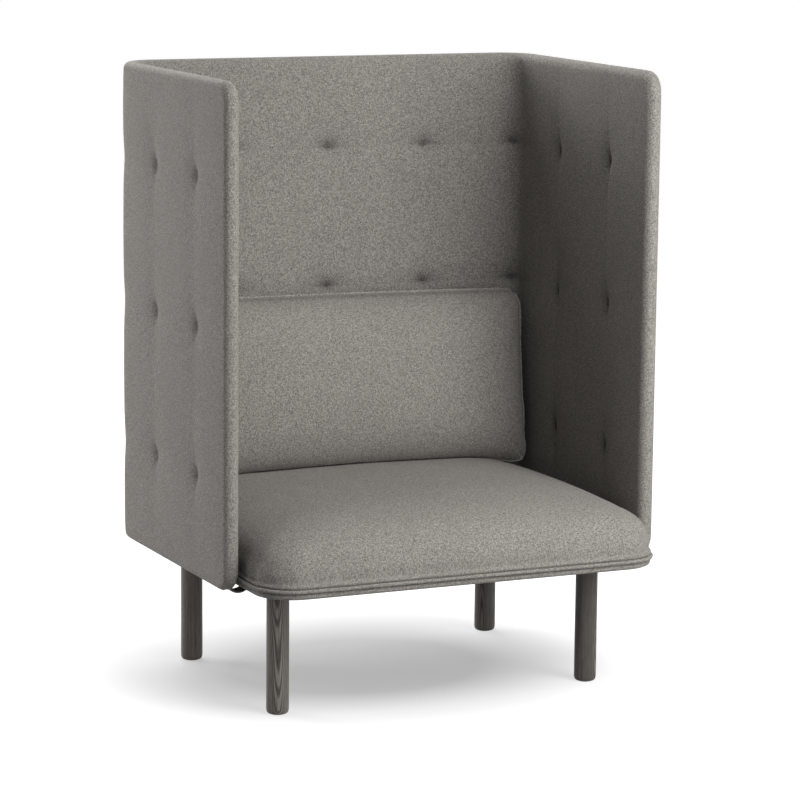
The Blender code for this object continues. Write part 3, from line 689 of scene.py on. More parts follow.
# %% Slot and notches
STRAP_NODES = [name for name in frame["nodes"] if name.startswith("strap_")]
SLOT_HALF = 0.0063
CLEARANCE = 0.0003
CUT_BEYOND = 0.02


def upright_prism(bm, outline, bottom, top):
    """Raise a flat outline into a prism."""
    base = bm.faces.new([bm.verts.new((x, y, bottom)) for x, y in outline])
    raised = bmesh.ops.extrude_face_region(bm, geom=[base])
    lifted = [item for item in raised["geom"] if isinstance(item, bmesh.types.BMVert)]
    bmesh.ops.translate(bm, verts=lifted, vec=(0.0, 0.0, top - bottom))
    bmesh.ops.recalc_face_normals(bm, faces=bm.faces)


def slot_solid():
    bm = bmesh.new()
    inset = CORE_LOW.y - SCREEN_FRONT - CLEARANCE
    left = [inset] + [SIDE_LENGTH + ARC_LENGTH * k / 16 for k in range(17)]
    right = [SCREEN_LENGTH - along for along in reversed(left)]
    stations = [screen_path(along) for along in left + right]
    outer = [spot + out * SLOT_HALF for spot, out in stations]
    inner = [spot - out * SLOT_HALF for spot, out in reversed(stations)]
    upright_prism(bm, outer + inner, SCREEN_BOTTOM - CUT_BEYOND, CORE_HIGH.z + CLEARANCE)
    return bm


def notch_solid():
    bm = bmesh.new()
    for name in STRAP_NODES:
        low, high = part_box(name)
        made = bmesh.ops.create_cube(bm, size=1.0)
        room = high - low + Vector((2 * CLEARANCE, 2 * CLEARANCE, 0.0))
        bmesh.ops.scale(bm, verts=made["verts"], vec=(room.x, room.y, 2 * CUT_BEYOND))
        middle = (low + high) / 2
        bmesh.ops.translate(bm, verts=made["verts"], vec=(middle.x, middle.y, CORE_LOW.z - CUT_BEYOND))
    return bm


def keep_shape(obj):
    """Turn the shape that the modifiers give into the mesh itself."""
    ready = obj.evaluated_get(bpy.context.evaluated_depsgraph_get())
    obj.data = bpy.data.meshes.new_from_object(ready)
    obj.modifiers.clear()


def cut(obj, bm):
    """Take the edit mesh's solid out of an object."""
    cutter = mesh_object("cutter", bm)
    boolean = obj.modifiers.new("cut", "BOOLEAN")
    boolean.solver = "EXACT"
    boolean.object = cutter
    keep_shape(obj)
    bpy.data.objects.remove(cutter, do_unlink=True)


def screen_wrap():
    wrap = piece("screen_wrap", cover, screen_wool,
                 stands_for=("screen_pad_left", "screen_pad_back", "screen_pad_right"))
    cut(wrap, slot_solid())
    cut(wrap, notch_solid())
    smooth(wrap, 50.0)
    return wrap


wrap = screen_wrap()
print("screen wrap:", len(wrap.data.polygons), "faces, notches for", len(STRAP_NODES), "straps")

# %% [markdown]
# ## Swelling a cushion
#
# A cushion is a bag of cloth that its filling pushes tight. Blender's Cloth with a steady pressure
# does the same: the bag starts a little slack and swells until the cloth holds it. Points that are
# sewn down are pinned. The swelling is then scaled so that the cushion ends at its measured size,
# and no point may move further than a cap.

# %% Cloth under pressure
SWELL_FRAMES = 20
SWELL_PRESSURE = 4.0
CLOTH_STIFFNESS = 40.0
MOST_MOVE = 0.026


def swell(obj, pinned):
    """Let a bag of cloth swell for a moment; returns how each point moved."""
    rest = [vert.co.copy() for vert in obj.data.vertices]
    group = obj.vertex_groups.new(name="sewn_down")
    group.add([index for index, spot in enumerate(rest) if pinned(spot)], 1.0, "REPLACE")
    cloth = obj.modifiers.new("cloth", "CLOTH")
    cloth.settings.use_pressure = True
    cloth.settings.uniform_pressure_force = SWELL_PRESSURE
    cloth.settings.effector_weights.gravity = 0.0
    cloth.settings.vertex_group_mass = "sewn_down"
    cloth.settings.tension_stiffness = CLOTH_STIFFNESS
    cloth.settings.compression_stiffness = CLOTH_STIFFNESS
    cloth.collision_settings.use_collision = False
    for step in range(1, SWELL_FRAMES + 1):
        scene.frame_set(step)
    ready = obj.evaluated_get(bpy.context.evaluated_depsgraph_get())
    moves = [vert.co - old for vert, old in zip(ready.data.vertices, rest)]
    obj.modifiers.clear()
    obj.vertex_groups.clear()
    scene.frame_set(1)
    return moves


def move_points(obj, moves):
    for vert, move in zip(obj.data.vertices, moves):
        vert.co += move
    obj.data.update()


def settle(obj, moves, share):
    """Keep a share of every move, up to the cap."""
    steps = [move * share for move in moves]
    move_points(obj, [step * min(1.0, MOST_MOVE / max(step.length, 1e-9)) for step in steps])


def subdivide(obj):
    """Split every face once, which also rounds the mesh a little."""
    finer = obj.modifiers.new("finer", "SUBSURF")
    finer.levels = 1
    finer.render_levels = 1
    keep_shape(obj)


print("cushions swell for", SWELL_FRAMES, "steps")

# %% [markdown]
# ## The seat's outline
#
# Deck, band, piping and cushion share one outline, a rectangle with wide corners in front and
# tighter ones behind. Each piece takes the outline at its own inset.

# %% Seat outline
WELT_LOW, WELT_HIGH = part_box("seat_welt")
WELT_RADIUS = (WELT_HIGH.z - WELT_LOW.z) / 2
WELT_LEVEL = (WELT_HIGH.z + WELT_LOW.z) / 2
CUSHION_LOW, CUSHION_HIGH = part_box("seat_cushion")
BAND_LOW, BAND_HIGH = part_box("seat_band")
FRONT_CORNER = 0.090
REAR_CORNER = 0.060


def seat_outline(inset, arc_steps=24, step=0.012):
    """Plan outline inset from the outside of the piping, anticlockwise from above."""
    wide = WELT_HIGH.x - inset
    front = WELT_LOW.y + inset
    back = WELT_HIGH.y - inset
    near = FRONT_CORNER - inset
    far = REAR_CORNER - inset
    corners = ((wide - far, back - far, far), (far - wide, back - far, far),
               (near - wide, front + near, near), (wide - near, front + near, near))
    outline = []
    for quarter, (x, y, radius) in enumerate(corners):
        for k in range(arc_steps + 1):
            angle = math.pi / 2 * (quarter + k / arc_steps)
            outline.append(Vector((x + radius * math.cos(angle), y + radius * math.sin(angle))))
    dense = []
    for first, second in zip(outline, outline[1:] + outline[:1]):
        count = max(1, round((second - first).length / step))
        dense += [first.lerp(second, k / count) for k in range(count)]
    return dense


def ring(bm, places, height):
    """Points at plan places, all at one height."""
    return [bm.verts.new((x, y, height)) for x, y in places]


def skin(bm, first, second):
    """A strip of faces between two rings of as many points."""
    for k in range(len(first)):
        bm.faces.new((first[k - 1], first[k], second[k], second[k - 1]))


print("seat outline:", len(seat_outline(0.0)), "points")

# %% [markdown]
# ## The seat cushion
#
# The cushion is domed foam under one sheet of wool that is sewn into the piping all round. Rings of
# the outline climb a full, rounded profile. The form is made even and swelled with its border
# pinned, which leaves the soft, slightly uneven skin that a cut shape lacks. Its foot is then pushed
# out until it nearly meets the piping. Round the front corners there is more cloth than border, so
# the cloth is gathered there in small puckers.

# %% Seat cushion
SEAT_RISE = 0.138
SEAT_SLACK = 0.006
SEAT_FULLNESS = 5.0
SEAT_FALL_ACROSS = 0.09
SEAT_FALL_DEEP = 0.12
SEAT_HALF_DEEP = 0.383
SEAT_OVER_PIPING = 0.006
SEAT_MIDDLE = (CUSHION_LOW.y + CUSHION_HIGH.y) / 2
SEAT_INSET = CUSHION_LOW.y - WELT_LOW.y
SEAT_RINGS = 48
RING_CROWDING = 1.8
SEAT_VOXEL = 0.007
SEWN_HEIGHT = 0.006
SWOLLEN_FROM = 0.001
SWOLLEN_OVER = 0.008
SWOLLEN_TO = 0.030
SWOLLEN_FADE = 0.020
FLAT_WITHIN = 0.0008
FOOT_HEIGHT = 0.012
FOOT_SLOPE = 0.75
FOOT_REACH = 0.03
PIPING_CLEAR = 0.0005
PUCKER_DEPTH = 0.0010
PUCKER_SPREAD = 0.62
PUCKER_LEVEL = 0.012
PUCKER_REACH = 0.017
PUCKER_FOLDS = 44.0
SEAT_DENT = 0.0012
DENT_FADE = 0.03


def seat_ring(bm, share, rise):
    """One ring of the dome; the crown falls off to the sides and the ends, the foot swells outward."""
    angle = math.pi / 2 * (1 - (1 - share) ** RING_CROWDING)
    scale = math.cos(angle) ** (2 / SEAT_FULLNESS)
    climb = rise * math.sin(angle) ** (2 / SEAT_FULLNESS)
    begun = min(1.0, max(0.0, (climb - SWOLLEN_FROM) / SWOLLEN_OVER))
    swollen = bell(max(0.0, climb - SWOLLEN_TO), SWOLLEN_FADE) * begun
    points = []
    for x, y in seat_outline(SEAT_INSET - SEAT_OVER_PIPING * swollen):
        spot = Vector((x * scale, (y - SEAT_MIDDLE) * scale))
        fall = SEAT_FALL_ACROSS * (spot.x / WELT_HIGH.x) ** 2
        fall += SEAT_FALL_DEEP * (spot.y / SEAT_HALF_DEEP) ** 2
        points.append(bm.verts.new((spot.x, SEAT_MIDDLE + spot.y, CUSHION_LOW.z + climb * (1 - fall))))
    return points


def seat_form(rise):
    bm = bmesh.new()
    rings = [seat_ring(bm, k / SEAT_RINGS, rise) for k in range(SEAT_RINGS)]
    for lower, upper in zip(rings, rings[1:]):
        skin(bm, lower, upper)
    for rim in (rings[0], rings[-1]):
        bm.faces.new(rim)
    bmesh.ops.recalc_face_normals(bm, faces=bm.faces)
    return bm


def even_mesh(obj, voxel):
    """Give a closed form faces of one size."""
    remesh = obj.modifiers.new("even", "REMESH")
    remesh.mode = "VOXEL"
    remesh.voxel_size = voxel
    keep_shape(obj)


def one_flat_face_below(obj, level):
    """Merge the many faces at the bottom into one."""
    bm = bmesh.new()
    bm.from_mesh(obj.data)
    for vert in bm.verts:
        vert.co.z = max(vert.co.z, level)
    flat = [face for face in bm.faces if all(vert.co.z < level + FLAT_WITHIN for vert in face.verts)]
    bmesh.ops.delete(bm, geom=flat, context="FACES")
    bmesh.ops.holes_fill(bm, edges=[edge for edge in bm.edges if edge.is_boundary], sides=0)
    bmesh.ops.recalc_face_normals(bm, faces=bm.faces)
    bm.to_mesh(obj.data)
    bm.free()


def point_tree(places):
    """A tree that finds the nearest of many places quickly."""
    tree = KDTree(len(places))
    for index, place in enumerate(places):
        tree.insert(place, index)
    tree.balance()
    return tree


def foot_inset(climb):
    """How far inside the outline the foot of the cushion may stand, just clear of the piping."""
    level = CUSHION_LOW.z + climb - WELT_LEVEL
    piping = WELT_RADIUS + math.sqrt(max(0.0, (WELT_RADIUS - 0.0001) ** 2 - level ** 2)) + PIPING_CLEAR
    sloped = SEAT_INSET - PIPING_CLEAR - FOOT_SLOPE * climb
    return max(piping, sloped, SEAT_INSET - SEAT_OVER_PIPING)


def tuck(obj):
    """Push the foot of the cushion out to the piping all round."""
    tree = point_tree([(place.x, place.y, 0.0) for place in seat_outline(0.0, 48, 0.002)])
    for vert in obj.data.vertices:
        climb = vert.co.z - CUSHION_LOW.z
        if climb < FOOT_HEIGHT:
            spot, _, away = tree.find((vert.co.x, vert.co.y, 0.0))
            wanted = foot_inset(climb)
            if wanted < away < FOOT_REACH:
                vert.co.xy = spot.xy + (vert.co.xy - spot.xy) * (wanted / away)
    obj.data.update()


def pucker(spot):
    """How far the cloth is gathered outward just above the piping of a front corner."""
    x = abs(spot.x) - (WELT_HIGH.x - FRONT_CORNER)
    y = (WELT_LOW.y + FRONT_CORNER) - spot.y
    turn = math.atan2(y, x)
    nearness = bell(turn - math.pi / 4, PUCKER_SPREAD)
    nearness *= bell(spot.z - CUSHION_LOW.z - PUCKER_LEVEL, PUCKER_REACH)
    side = 1.0 if spot.x > 0 else -1.0
    sway = noise.noise(Vector((turn * 3.0, side * 5.0, 0.0)))
    fold = math.sin(turn * PUCKER_FOLDS + sway * 3.0 + side) * (0.6 + 0.4 * sway)
    return PUCKER_DEPTH * nearness * fold


def soften(obj):
    """Puckers at the front corners, and the dents of a seat that has been sat on."""
    obj.data.update()
    moves = []
    for vert in obj.data.vertices:
        high = min(1.0, max(0.0, (vert.co.z - CUSHION_LOW.z - SEWN_HEIGHT) / DENT_FADE))
        dent = SEAT_DENT * noise.noise(Vector((vert.co.x * 7.0, vert.co.y * 7.0, vert.co.z * 7.0)))
        moves.append(vert.normal * (pucker(vert.co) + (dent - SEAT_DENT / 2) * high))
    move_points(obj, moves)


def seat_top():
    slack = SEAT_SLACK
    form = seat_form(SEAT_RISE - slack)
    seat = piece("seat_top", form, seat_wool, stands_for=("seat_cushion",))
    even_mesh(seat, SEAT_VOXEL)
    moves = swell(seat, lambda spot: spot.z < CUSHION_LOW.z + SEWN_HEIGHT)
    settle(seat, moves, SEAT_SLACK / max(move.z for move in moves))
    print("cloth rose by", round(max(move.z for move in moves) * 1000, 1), "mm before scaling")
    subdivide(seat)
    one_flat_face_below(seat, CUSHION_LOW.z)
    tuck(seat)
    soften(seat)
    smooth(seat, 60.0)
    return seat


seat = seat_top()
print("seat top:", len(seat.data.polygons), "faces, top at",
      round(max(vert.co.z for vert in seat.data.vertices), 4), "m")

# %% [markdown]
# ## Piping and band
#
# Below the cushion runs a cord covered with the same wool, then a narrow band of wool that is pulled
# round the edge of the deck and turned under it. The cord's cover is cut on the bias and never lies
# quite even, so its thickness wavers a little.

# %% Piping
PIPING_FULLNESS = 0.94
PIPING_WAVER = 0.08
PIPING_WANDER = 0.0004


def swept_tube(name, places, radius, waver, rounds=12):
    """A closed tube along places in space, as an edit mesh."""
    curve = bpy.data.curves.new(name, "CURVE")
    curve.dimensions = "3D"
    curve.bevel_depth = radius
    curve.bevel_resolution = rounds // 2 - 1
    run = curve.splines.new("POLY")
    run.points.add(len(places) - 1)
    for point, spot in zip(run.points, places):
        point.co = (*spot, 1.0)
        point.radius = 1.0 + waver * noise.noise(Vector(spot) * 38.0)
    run.use_cyclic_u = True
    holder = bpy.data.objects.new(name, curve)
    scene.collection.objects.link(holder)
    ready = holder.evaluated_get(bpy.context.evaluated_depsgraph_get())
    mesh = bpy.data.meshes.new_from_object(ready)
    bpy.data.objects.remove(holder, do_unlink=True)
    bm = bmesh.new()
    bm.from_mesh(mesh)
    bmesh.ops.remove_doubles(bm, verts=bm.verts, dist=1e-6)
    bmesh.ops.recalc_face_normals(bm, faces=bm.faces)
    return bm


def piping():
    places = [(x, y, WELT_LEVEL + PIPING_WANDER * noise.noise(Vector((x * 11.0, y * 11.0, 0.0))))
              for x, y in seat_outline(WELT_RADIUS, step=0.008)]
    tube = swept_tube("piping_path", places, WELT_RADIUS * PIPING_FULLNESS, PIPING_WAVER)
    cord = piece("seat_piping", tube, seat_wool, stands_for=("seat_welt",))
    return cord


welt = piping()
print("piping:", len(welt.data.polygons), "faces")

# %% Band
BAND_INSET = BAND_LOW.y - WELT_LOW.y
BAND_TURN = 0.025
BAND_ROUND = 0.006
BAND_SWELL = 0.002
CLOTH_THICK = 0.0016


def thicken(obj, thickness):
    """Give a sheet its thickness, on the side that its faces turn away from."""
    thick = obj.modifiers.new("cloth_thickness", "SOLIDIFY")
    thick.thickness = thickness
    thick.offset = -1.0


def path_length(places):
    """Length of a closed path."""
    return sum((second - first).length for first, second in zip(places, places[1:] + places[:1]))


def band():
    bm = bmesh.new()
    steps = [(BAND_INSET, BAND_HIGH.z), (BAND_INSET - BAND_SWELL * 0.7, BAND_HIGH.z - 0.004)]
    for k in range(6):
        angle = math.pi / 2 * k / 5
        steps.append((BAND_INSET - BAND_SWELL + BAND_ROUND * (1 - math.cos(angle)),
                      BAND_LOW.z + BAND_ROUND * (1 - math.sin(angle))))
    steps.append((BAND_INSET + BAND_TURN, BAND_LOW.z))
    rings = [ring(bm, seat_outline(inset), height) for inset, height in steps]
    for upper, lower in zip(rings, rings[1:]):
        skin(bm, upper, lower)
    bmesh.ops.recalc_face_normals(bm, faces=bm.faces)
    cloth = piece("seat_band_cloth", bm, seat_wool, stands_for=("seat_band",), crease=60.0)
    thicken(cloth, CLOTH_THICK)
    flat = (path_length(seat_outline(BAND_INSET)), BAND_HIGH.z - BAND_LOW.z + BAND_TURN)
    print("band cut", [round(side, 3) for side in flat], "m")


band()

# %% [markdown]
# ## The lining
#
# A black felted lining closes the underside. It is stapled round its border and clamped by the leg
# plates and the straps; between them it hangs slack by a few millimetres. Rings of the outline make
# the sheet, each point drops with its distance from whatever holds it, and holes let the bolts through.

# %% Lining
LINING_LOW, LINING_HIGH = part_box("dust_cover")
LINING_INSET = LINING_LOW.y - WELT_LOW.y + CLEARANCE
LINING_RINGS = 26
LINING_THICK = 0.0010
LINING_SAG = 0.0032
LINING_HALF_DEEP = 0.36
SAG_REACH = 0.085
CLAMP_MARGIN = 0.006
LINING_LEVEL = LINING_LOW.z + CLEARANCE
PLATE_HOLE = 0.0089
BOLT_HOLE = 0.0037
PLATE_NODES = [name for name in frame["nodes"] if name.startswith("leg_plate_")]
DECK_BOLT_NODES = [name for name in frame["nodes"] if name.startswith("deck_bolt_")]
CLAMPS = [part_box(name) for name in PLATE_NODES + STRAP_NODES]


def gap_to_clamps(spot, margin):
    """Plan distance from a place to the nearest plate or strap with a margin round it."""
    gaps = []
    for low, high in CLAMPS:
        x = max(low.x - margin - spot.x, 0.0, spot.x - high.x - margin)
        y = max(low.y - margin - spot.y, 0.0, spot.y - high.y - margin)
        gaps.append(math.hypot(x, y))
    return min(gaps)


def sag(spot, border):
    """How far the lining hangs at a place that lies so far from its border."""
    free = min(border, gap_to_clamps(spot, CLAMP_MARGIN))
    crease = 0.25 * noise.noise(Vector((spot.x * 9.0, spot.y * 9.0, 4.0)))
    return LINING_SAG * (1.0 - bell(free, SAG_REACH)) * (1.0 + crease)


def middle_of(node):
    """Middle of a solid's box."""
    low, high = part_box(node)
    return (low + high) / 2


def round_rods(nodes, radius):
    """Upright rods through the lining at the middles of the named solids, to cut holes with."""
    low = LINING_LOW.z - CUT_BEYOND
    high = LINING_HIGH.z + CUT_BEYOND
    bm = bmesh.new()
    for name in nodes:
        made = bmesh.ops.create_cone(bm, cap_ends=True, segments=32, radius1=radius, radius2=radius,
                                     depth=high - low)
        middle = middle_of(name)
        bmesh.ops.translate(bm, verts=made["verts"], vec=(middle.x, middle.y, (low + high) / 2))
    return bm


def seat_lining():
    bm = bmesh.new()
    centre = Vector((0.0, SEAT_MIDDLE))
    border = seat_outline(LINING_INSET)
    rings = []
    for k in range(LINING_RINGS):
        share = 1.0 - k / LINING_RINGS
        places = [centre + (spot - centre) * share for spot in border]
        far = (1.0 - share) * LINING_HALF_DEEP
        rings.append([bm.verts.new((spot.x, spot.y, LINING_LEVEL - sag(spot, far))) for spot in places])
    for outer, inner in zip(rings, rings[1:]):
        skin(bm, outer, inner)
    bm.faces.new(rings[-1])
    bmesh.ops.recalc_face_normals(bm, faces=bm.faces)
    if bm.faces[0].normal.z > 0:
        bmesh.ops.reverse_faces(bm, faces=bm.faces)
    sheet = piece("seat_lining", bm, lining, stands_for=("dust_cover",))
    thicken(sheet, LINING_THICK)
    cut(sheet, round_rods(PLATE_NODES, PLATE_HOLE))
    cut(sheet, round_rods(DECK_BOLT_NODES, BOLT_HOLE))
    smooth(sheet, 40.0)


seat_lining()

# %% [markdown]
# ## Staples
#
# Short wire staples hold the lining's border at every hand's breadth. Each is only a bent crown of
# wire on the cloth, so a box with rounded ends is enough. A staple that would fall on a strap or a
# leg plate is left out.

# %% Staples
STAPLE_PITCH = 0.046
STAPLE_SIZE = (0.0100, 0.0012, 0.0006)
STAPLE_INSET = 0.007
STAPLE_BEVEL = 0.0002
STAPLE_SKEW = 0.25


def staple(bm, spot, heading):
    made = bmesh.ops.create_cube(bm, size=1.0)
    bmesh.ops.scale(bm, verts=made["verts"], vec=STAPLE_SIZE)
    edges = list({edge for vert in made["verts"] for edge in vert.link_edges})
    bevelled = bmesh.ops.bevel(bm, geom=edges, offset=STAPLE_BEVEL, offset_type="OFFSET", segments=1,
                               profile=0.5, affect="EDGES", material=-1)
    verts = bevelled["verts"]
    bmesh.ops.rotate(bm, verts=verts, cent=(0.0, 0.0, 0.0), matrix=Matrix.Rotation(heading, 3, "Z"))
    bmesh.ops.translate(bm, verts=verts, vec=(spot.x, spot.y, LINING_LEVEL - STAPLE_SIZE[2]))


def staples():
    bm = bmesh.new()
    line = seat_outline(LINING_INSET + STAPLE_INSET)
    travelled = 0.0
    count = 0
    for first, second in zip(line, line[1:] + line[:1]):
        travelled += (second - first).length
        if travelled < STAPLE_PITCH:
            continue
        travelled = 0.0
        if gap_to_clamps(first, STAPLE_INSET) <= 0.0:
            continue
        heading = math.atan2(second.y - first.y, second.x - first.x)
        skew = STAPLE_SKEW * noise.noise(Vector((first.x * 50.0, first.y * 50.0, 0.0)))
        staple(bm, first, heading + skew)
        count += 1
    piece("lining_staples", bm, zinc)
    print("staples:", count)


staples()

# %% [markdown]
# ## The lumbar cushion
#
# Two equal panels sewn together at a knife edge make the loose cushion. They are laid out flat as
# two grids with the fullness of the filling, then swelled. The filling has sunk and rolled to one end,
# so the top edge slopes a little, and the upper corners are tucked in. The cushion leans on the back:
# it is tilted, moved against the screen and set at its height; what would sink into the seat or the
# screen is pushed flat against them, as the filling gives way.

# %% Lumbar cushion
LUMBAR_LOW, LUMBAR_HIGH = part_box("lumbar_cushion")
LUMBAR_HALF = (LUMBAR_HIGH.x - LUMBAR_LOW.x) / 2
LUMBAR_TALL = 0.374
LUMBAR_SINK = 0.006
LUMBAR_ROLL = 0.011
LUMBAR_ARCH = 0.004
LUMBAR_ABOVE = 0.009
LUMBAR_THICK = 0.165
LUMBAR_LEAN = math.radians(7.0)
LUMBAR_CORNER = 0.042
LUMBAR_SLACK = 0.90
LUMBAR_WAIST = 0.012
LUMBAR_WAVER = 0.0022
LUMBAR_EARS = 0.022
LUMBAR_PINCH = 0.45
LUMBAR_CLEAR = 0.0030
LUMBAR_PRESSED = 0.002
LUMBAR_CROWN_TOP = 4
LUMBAR_CROWN_FOOT = 2.1
LUMBAR_SETTLED = 0.08
LUMBAR_DENT = 0.0016
LUMBAR_DENT_FADE = 0.06
CORNER_TUCK = 0.0040
CORNER_PUSH = 0.0020
CORNER_REACH = 0.040
GATHER_DEPTH = 0.0009
GATHER_AWAY = 0.010
GATHER_REACH = 0.012
SEAM_PINCH_REACH = 0.012
RAY_START = 0.2
LUMBAR_COLUMNS = 120
LUMBAR_ROWS = 52


def corner_dent(from_side, from_end, up):
    """Upper corners are tucked in a little, nearer to the end than to the side."""
    if up < 0.0:
        return 0.0
    turn = (from_side - from_end) / LUMBAR_CORNER
    near = bell(max(from_side, from_end), CORNER_REACH)
    return near * (CORNER_TUCK * bell(turn - 0.30, 0.25) - CORNER_PUSH * bell(turn + 0.35, 0.30))


def lumbar_panel(bm, side, thick, painted_shade, rim):
    """One panel of the cushion, upright round the origin and crowned towards its side."""
    made = bmesh.ops.create_grid(bm, x_segments=LUMBAR_COLUMNS, y_segments=LUMBAR_ROWS, size=1.0)
    for vert in made["verts"]:
        across = math.sin(vert.co.x * math.pi / 2)
        up = math.sin(vert.co.y * math.pi / 2)
        ends = 1 - abs(up) ** (LUMBAR_CROWN_TOP if up > 0 else LUMBAR_CROWN_FOOT)
        bulge = max(0.0, (1 - across ** 4) * ends) ** 0.5 * (1 - LUMBAR_SETTLED * up)
        edge = max(abs(vert.co.x), abs(vert.co.y))
        from_side = LUMBAR_HALF * (1 - abs(across))
        from_end = LUMBAR_TALL / 2 * (1 - abs(up))
        from_side, from_end = round_corner(from_side, from_end, LUMBAR_CORNER)
        x = math.copysign(LUMBAR_HALF - from_side, across) * (1 - LUMBAR_WAIST * (1 - up ** 2))
        waver = noise.noise(Vector((up * 4.0, 3.0, across)))
        x += LUMBAR_WAVER * waver * across ** 4
        z = math.copysign(LUMBAR_TALL / 2 - from_end, up)
        z += (LUMBAR_ROLL * (1 - across) / 2 + LUMBAR_ARCH * (1 - across ** 2)) * (1 + up) / 2
        dent = corner_dent(from_side, from_end, up)
        x -= math.copysign(dent, across)
        z -= dent
        z -= LUMBAR_SINK * (1 - up) / 2
        z -= LUMBAR_EARS * across ** 6 * (1 - up) / 2
        sewn = 1 - LUMBAR_PINCH * bell(min(from_side, from_end), SEAM_PINCH_REACH)
        vert.co = (x, side * thick / 2 * bulge * sewn, z)
        # A line of painted shade just inside the seam.
        vert[painted_shade] = 0.6 * bell(min(from_side, from_end) - 0.004, 0.003)
        vert[rim] = 1.0 if edge > 0.9999 else 0.0


def lumbar_bag(thick):
    bm = bmesh.new()
    painted_shade = bm.verts.layers.float.new("painted_shade")
    rim = bm.verts.layers.float.new("rim")
    for side in (1, -1):
        lumbar_panel(bm, side, thick, painted_shade, rim)
    bmesh.ops.remove_doubles(bm, verts=bm.verts, dist=1e-6)
    bmesh.ops.recalc_face_normals(bm, faces=bm.faces)
    return bm


def reach(obj):
    """Lowest and highest corner of a mesh."""
    spots = [vert.co for vert in obj.data.vertices]
    low = Vector([min(spot[axis] for spot in spots) for axis in range(3)])
    high = Vector([max(spot[axis] for spot in spots) for axis in range(3)])
    return low, high


def surface_of(obj):
    bm = bmesh.new()
    bm.from_mesh(obj.data)
    tree = BVHTree.FromBMesh(bm)
    bm.free()
    return tree


def height_over(tree, spot):
    """Gap between a place and the surface straight below it, or None."""
    hit = tree.ray_cast(Vector((spot.x, spot.y, spot.z + RAY_START)), Vector((0.0, 0.0, -1.0)))[0]
    return None if hit is None else spot.z - hit.z


def gap_behind(tree, spot):
    """Gap between a place and the surface straight behind it, or None."""
    hit = tree.ray_cast(Vector((spot.x, 0.0, spot.z)), Vector((0.0, 1.0, 0.0)))[0]
    return None if hit is None else hit.y - spot.y


def rest(obj, clear):
    """Push the cushion flat where it would sink into the seat or the screen."""
    seat_tree = surface_of(seat)
    wrap_tree = surface_of(wrap)
    pressed = 0
    for vert in obj.data.vertices:
        above = height_over(seat_tree, vert.co)
        if above is not None and above < clear:
            vert.co.z += clear - above
            pressed += 1
        before = gap_behind(wrap_tree, vert.co)
        if before is not None and before < clear:
            vert.co.y -= clear - before
            pressed += 1
    return pressed


def rim_points(obj):
    """Copies of the places along the knife edge."""
    marks = obj.data.attributes["rim"].data
    return [vert.co.copy() for vert, mark in zip(obj.data.vertices, marks) if mark.value > 0.9]


def gather(obj):
    """Small waves in the cloth beside the seam."""
    tree = point_tree(rim_points(obj))
    moves = []
    for vert in obj.data.vertices:
        spot, _, away = tree.find(vert.co)
        wave = math.sin(spot.x * 230.0 + spot.z * 260.0 + 4.0 * noise.noise(spot * 14.0))
        depth = GATHER_DEPTH * bell(away - GATHER_AWAY, GATHER_REACH) * (0.4 + noise.noise(spot * 9.0))
        dent = LUMBAR_DENT * noise.noise(vert.co * 6.0) * min(1.0, away / LUMBAR_DENT_FADE)
        moves.append(vert.normal * (wave * depth + dent))
    move_points(obj, moves)


def lumbar_cushion():
    slack = LUMBAR_SLACK
    cushion = piece("lumbar_pillow", lumbar_bag(LUMBAR_THICK * slack), lumbar_wool,
                    body="lumbar", stands_for=("lumbar_cushion",), crease=180.0)
    moves = swell(cushion, lambda spot: abs(spot.y) < 0.0005)
    most = max(move.length for move in moves)
    settle(cushion, moves, LUMBAR_THICK * (1.0 - LUMBAR_SLACK) / 2 / most)
    print("filling moved the cloth by", round(most * 1000, 1), "mm before scaling")
    subdivide(cushion)
    gather(cushion)
    cushion.data.transform(Matrix.Rotation(-LUMBAR_LEAN, 4, "X"))
    high = reach(cushion)[1]
    back = LUMBAR_HIGH.y + LUMBAR_PRESSED - high.y
    lift = LUMBAR_HIGH.z + LUMBAR_ABOVE - high.z
    cushion.data.transform(Matrix.Translation((0.0, back, lift)))
    pressed = rest(cushion, LUMBAR_CLEAR)
    smooth(cushion, 180.0)
    print("lumbar cushion rests with", pressed, "points pressed flat")
    return cushion


pillow = lumbar_cushion()
print("lumbar pillow:", len(pillow.data.polygons), "faces, reach",
      [round(side, 3) for side in reach(pillow)[1] - reach(pillow)[0]])

# %% [markdown]
# ## The cushion's seam
#
# Along the knife edge the two panels are sewn face to face and turned, which leaves a thin, slightly
# wavy roll. Its path is the rim of the finished cushion, sorted by its turn round the middle. The
# roll is painted paler than the panels, as a painted highlight.

# %% Seam
SEAM_RADIUS = 0.0021
SEAM_OUT = 0.0012
SEAM_WAVER = 0.25
SEAM_LIFTED_FROM = -0.12
SEAM_PAINTED_HIGHLIGHT = 2.5


def seam_places():
    """The rim in order; above the cushion's foot it stands out a little."""
    spots = rim_points(pillow)
    middle = sum(spots, Vector()) / len(spots)
    spots.sort(key=lambda spot: math.atan2(spot.z - middle.z, spot.x - middle.x))
    neighbours = zip(spots[-1:] + spots, spots[1:] + spots[:1])
    along = [(after - before).normalized() for before, after in neighbours]
    outward = [Vector((way.z, 0.0, -way.x)).normalized() for way in along]
    lifted = [spot.z > middle.z + SEAM_LIFTED_FROM for spot in spots]
    return [spot + out * SEAM_OUT * up for spot, out, up in zip(spots, outward, lifted)]


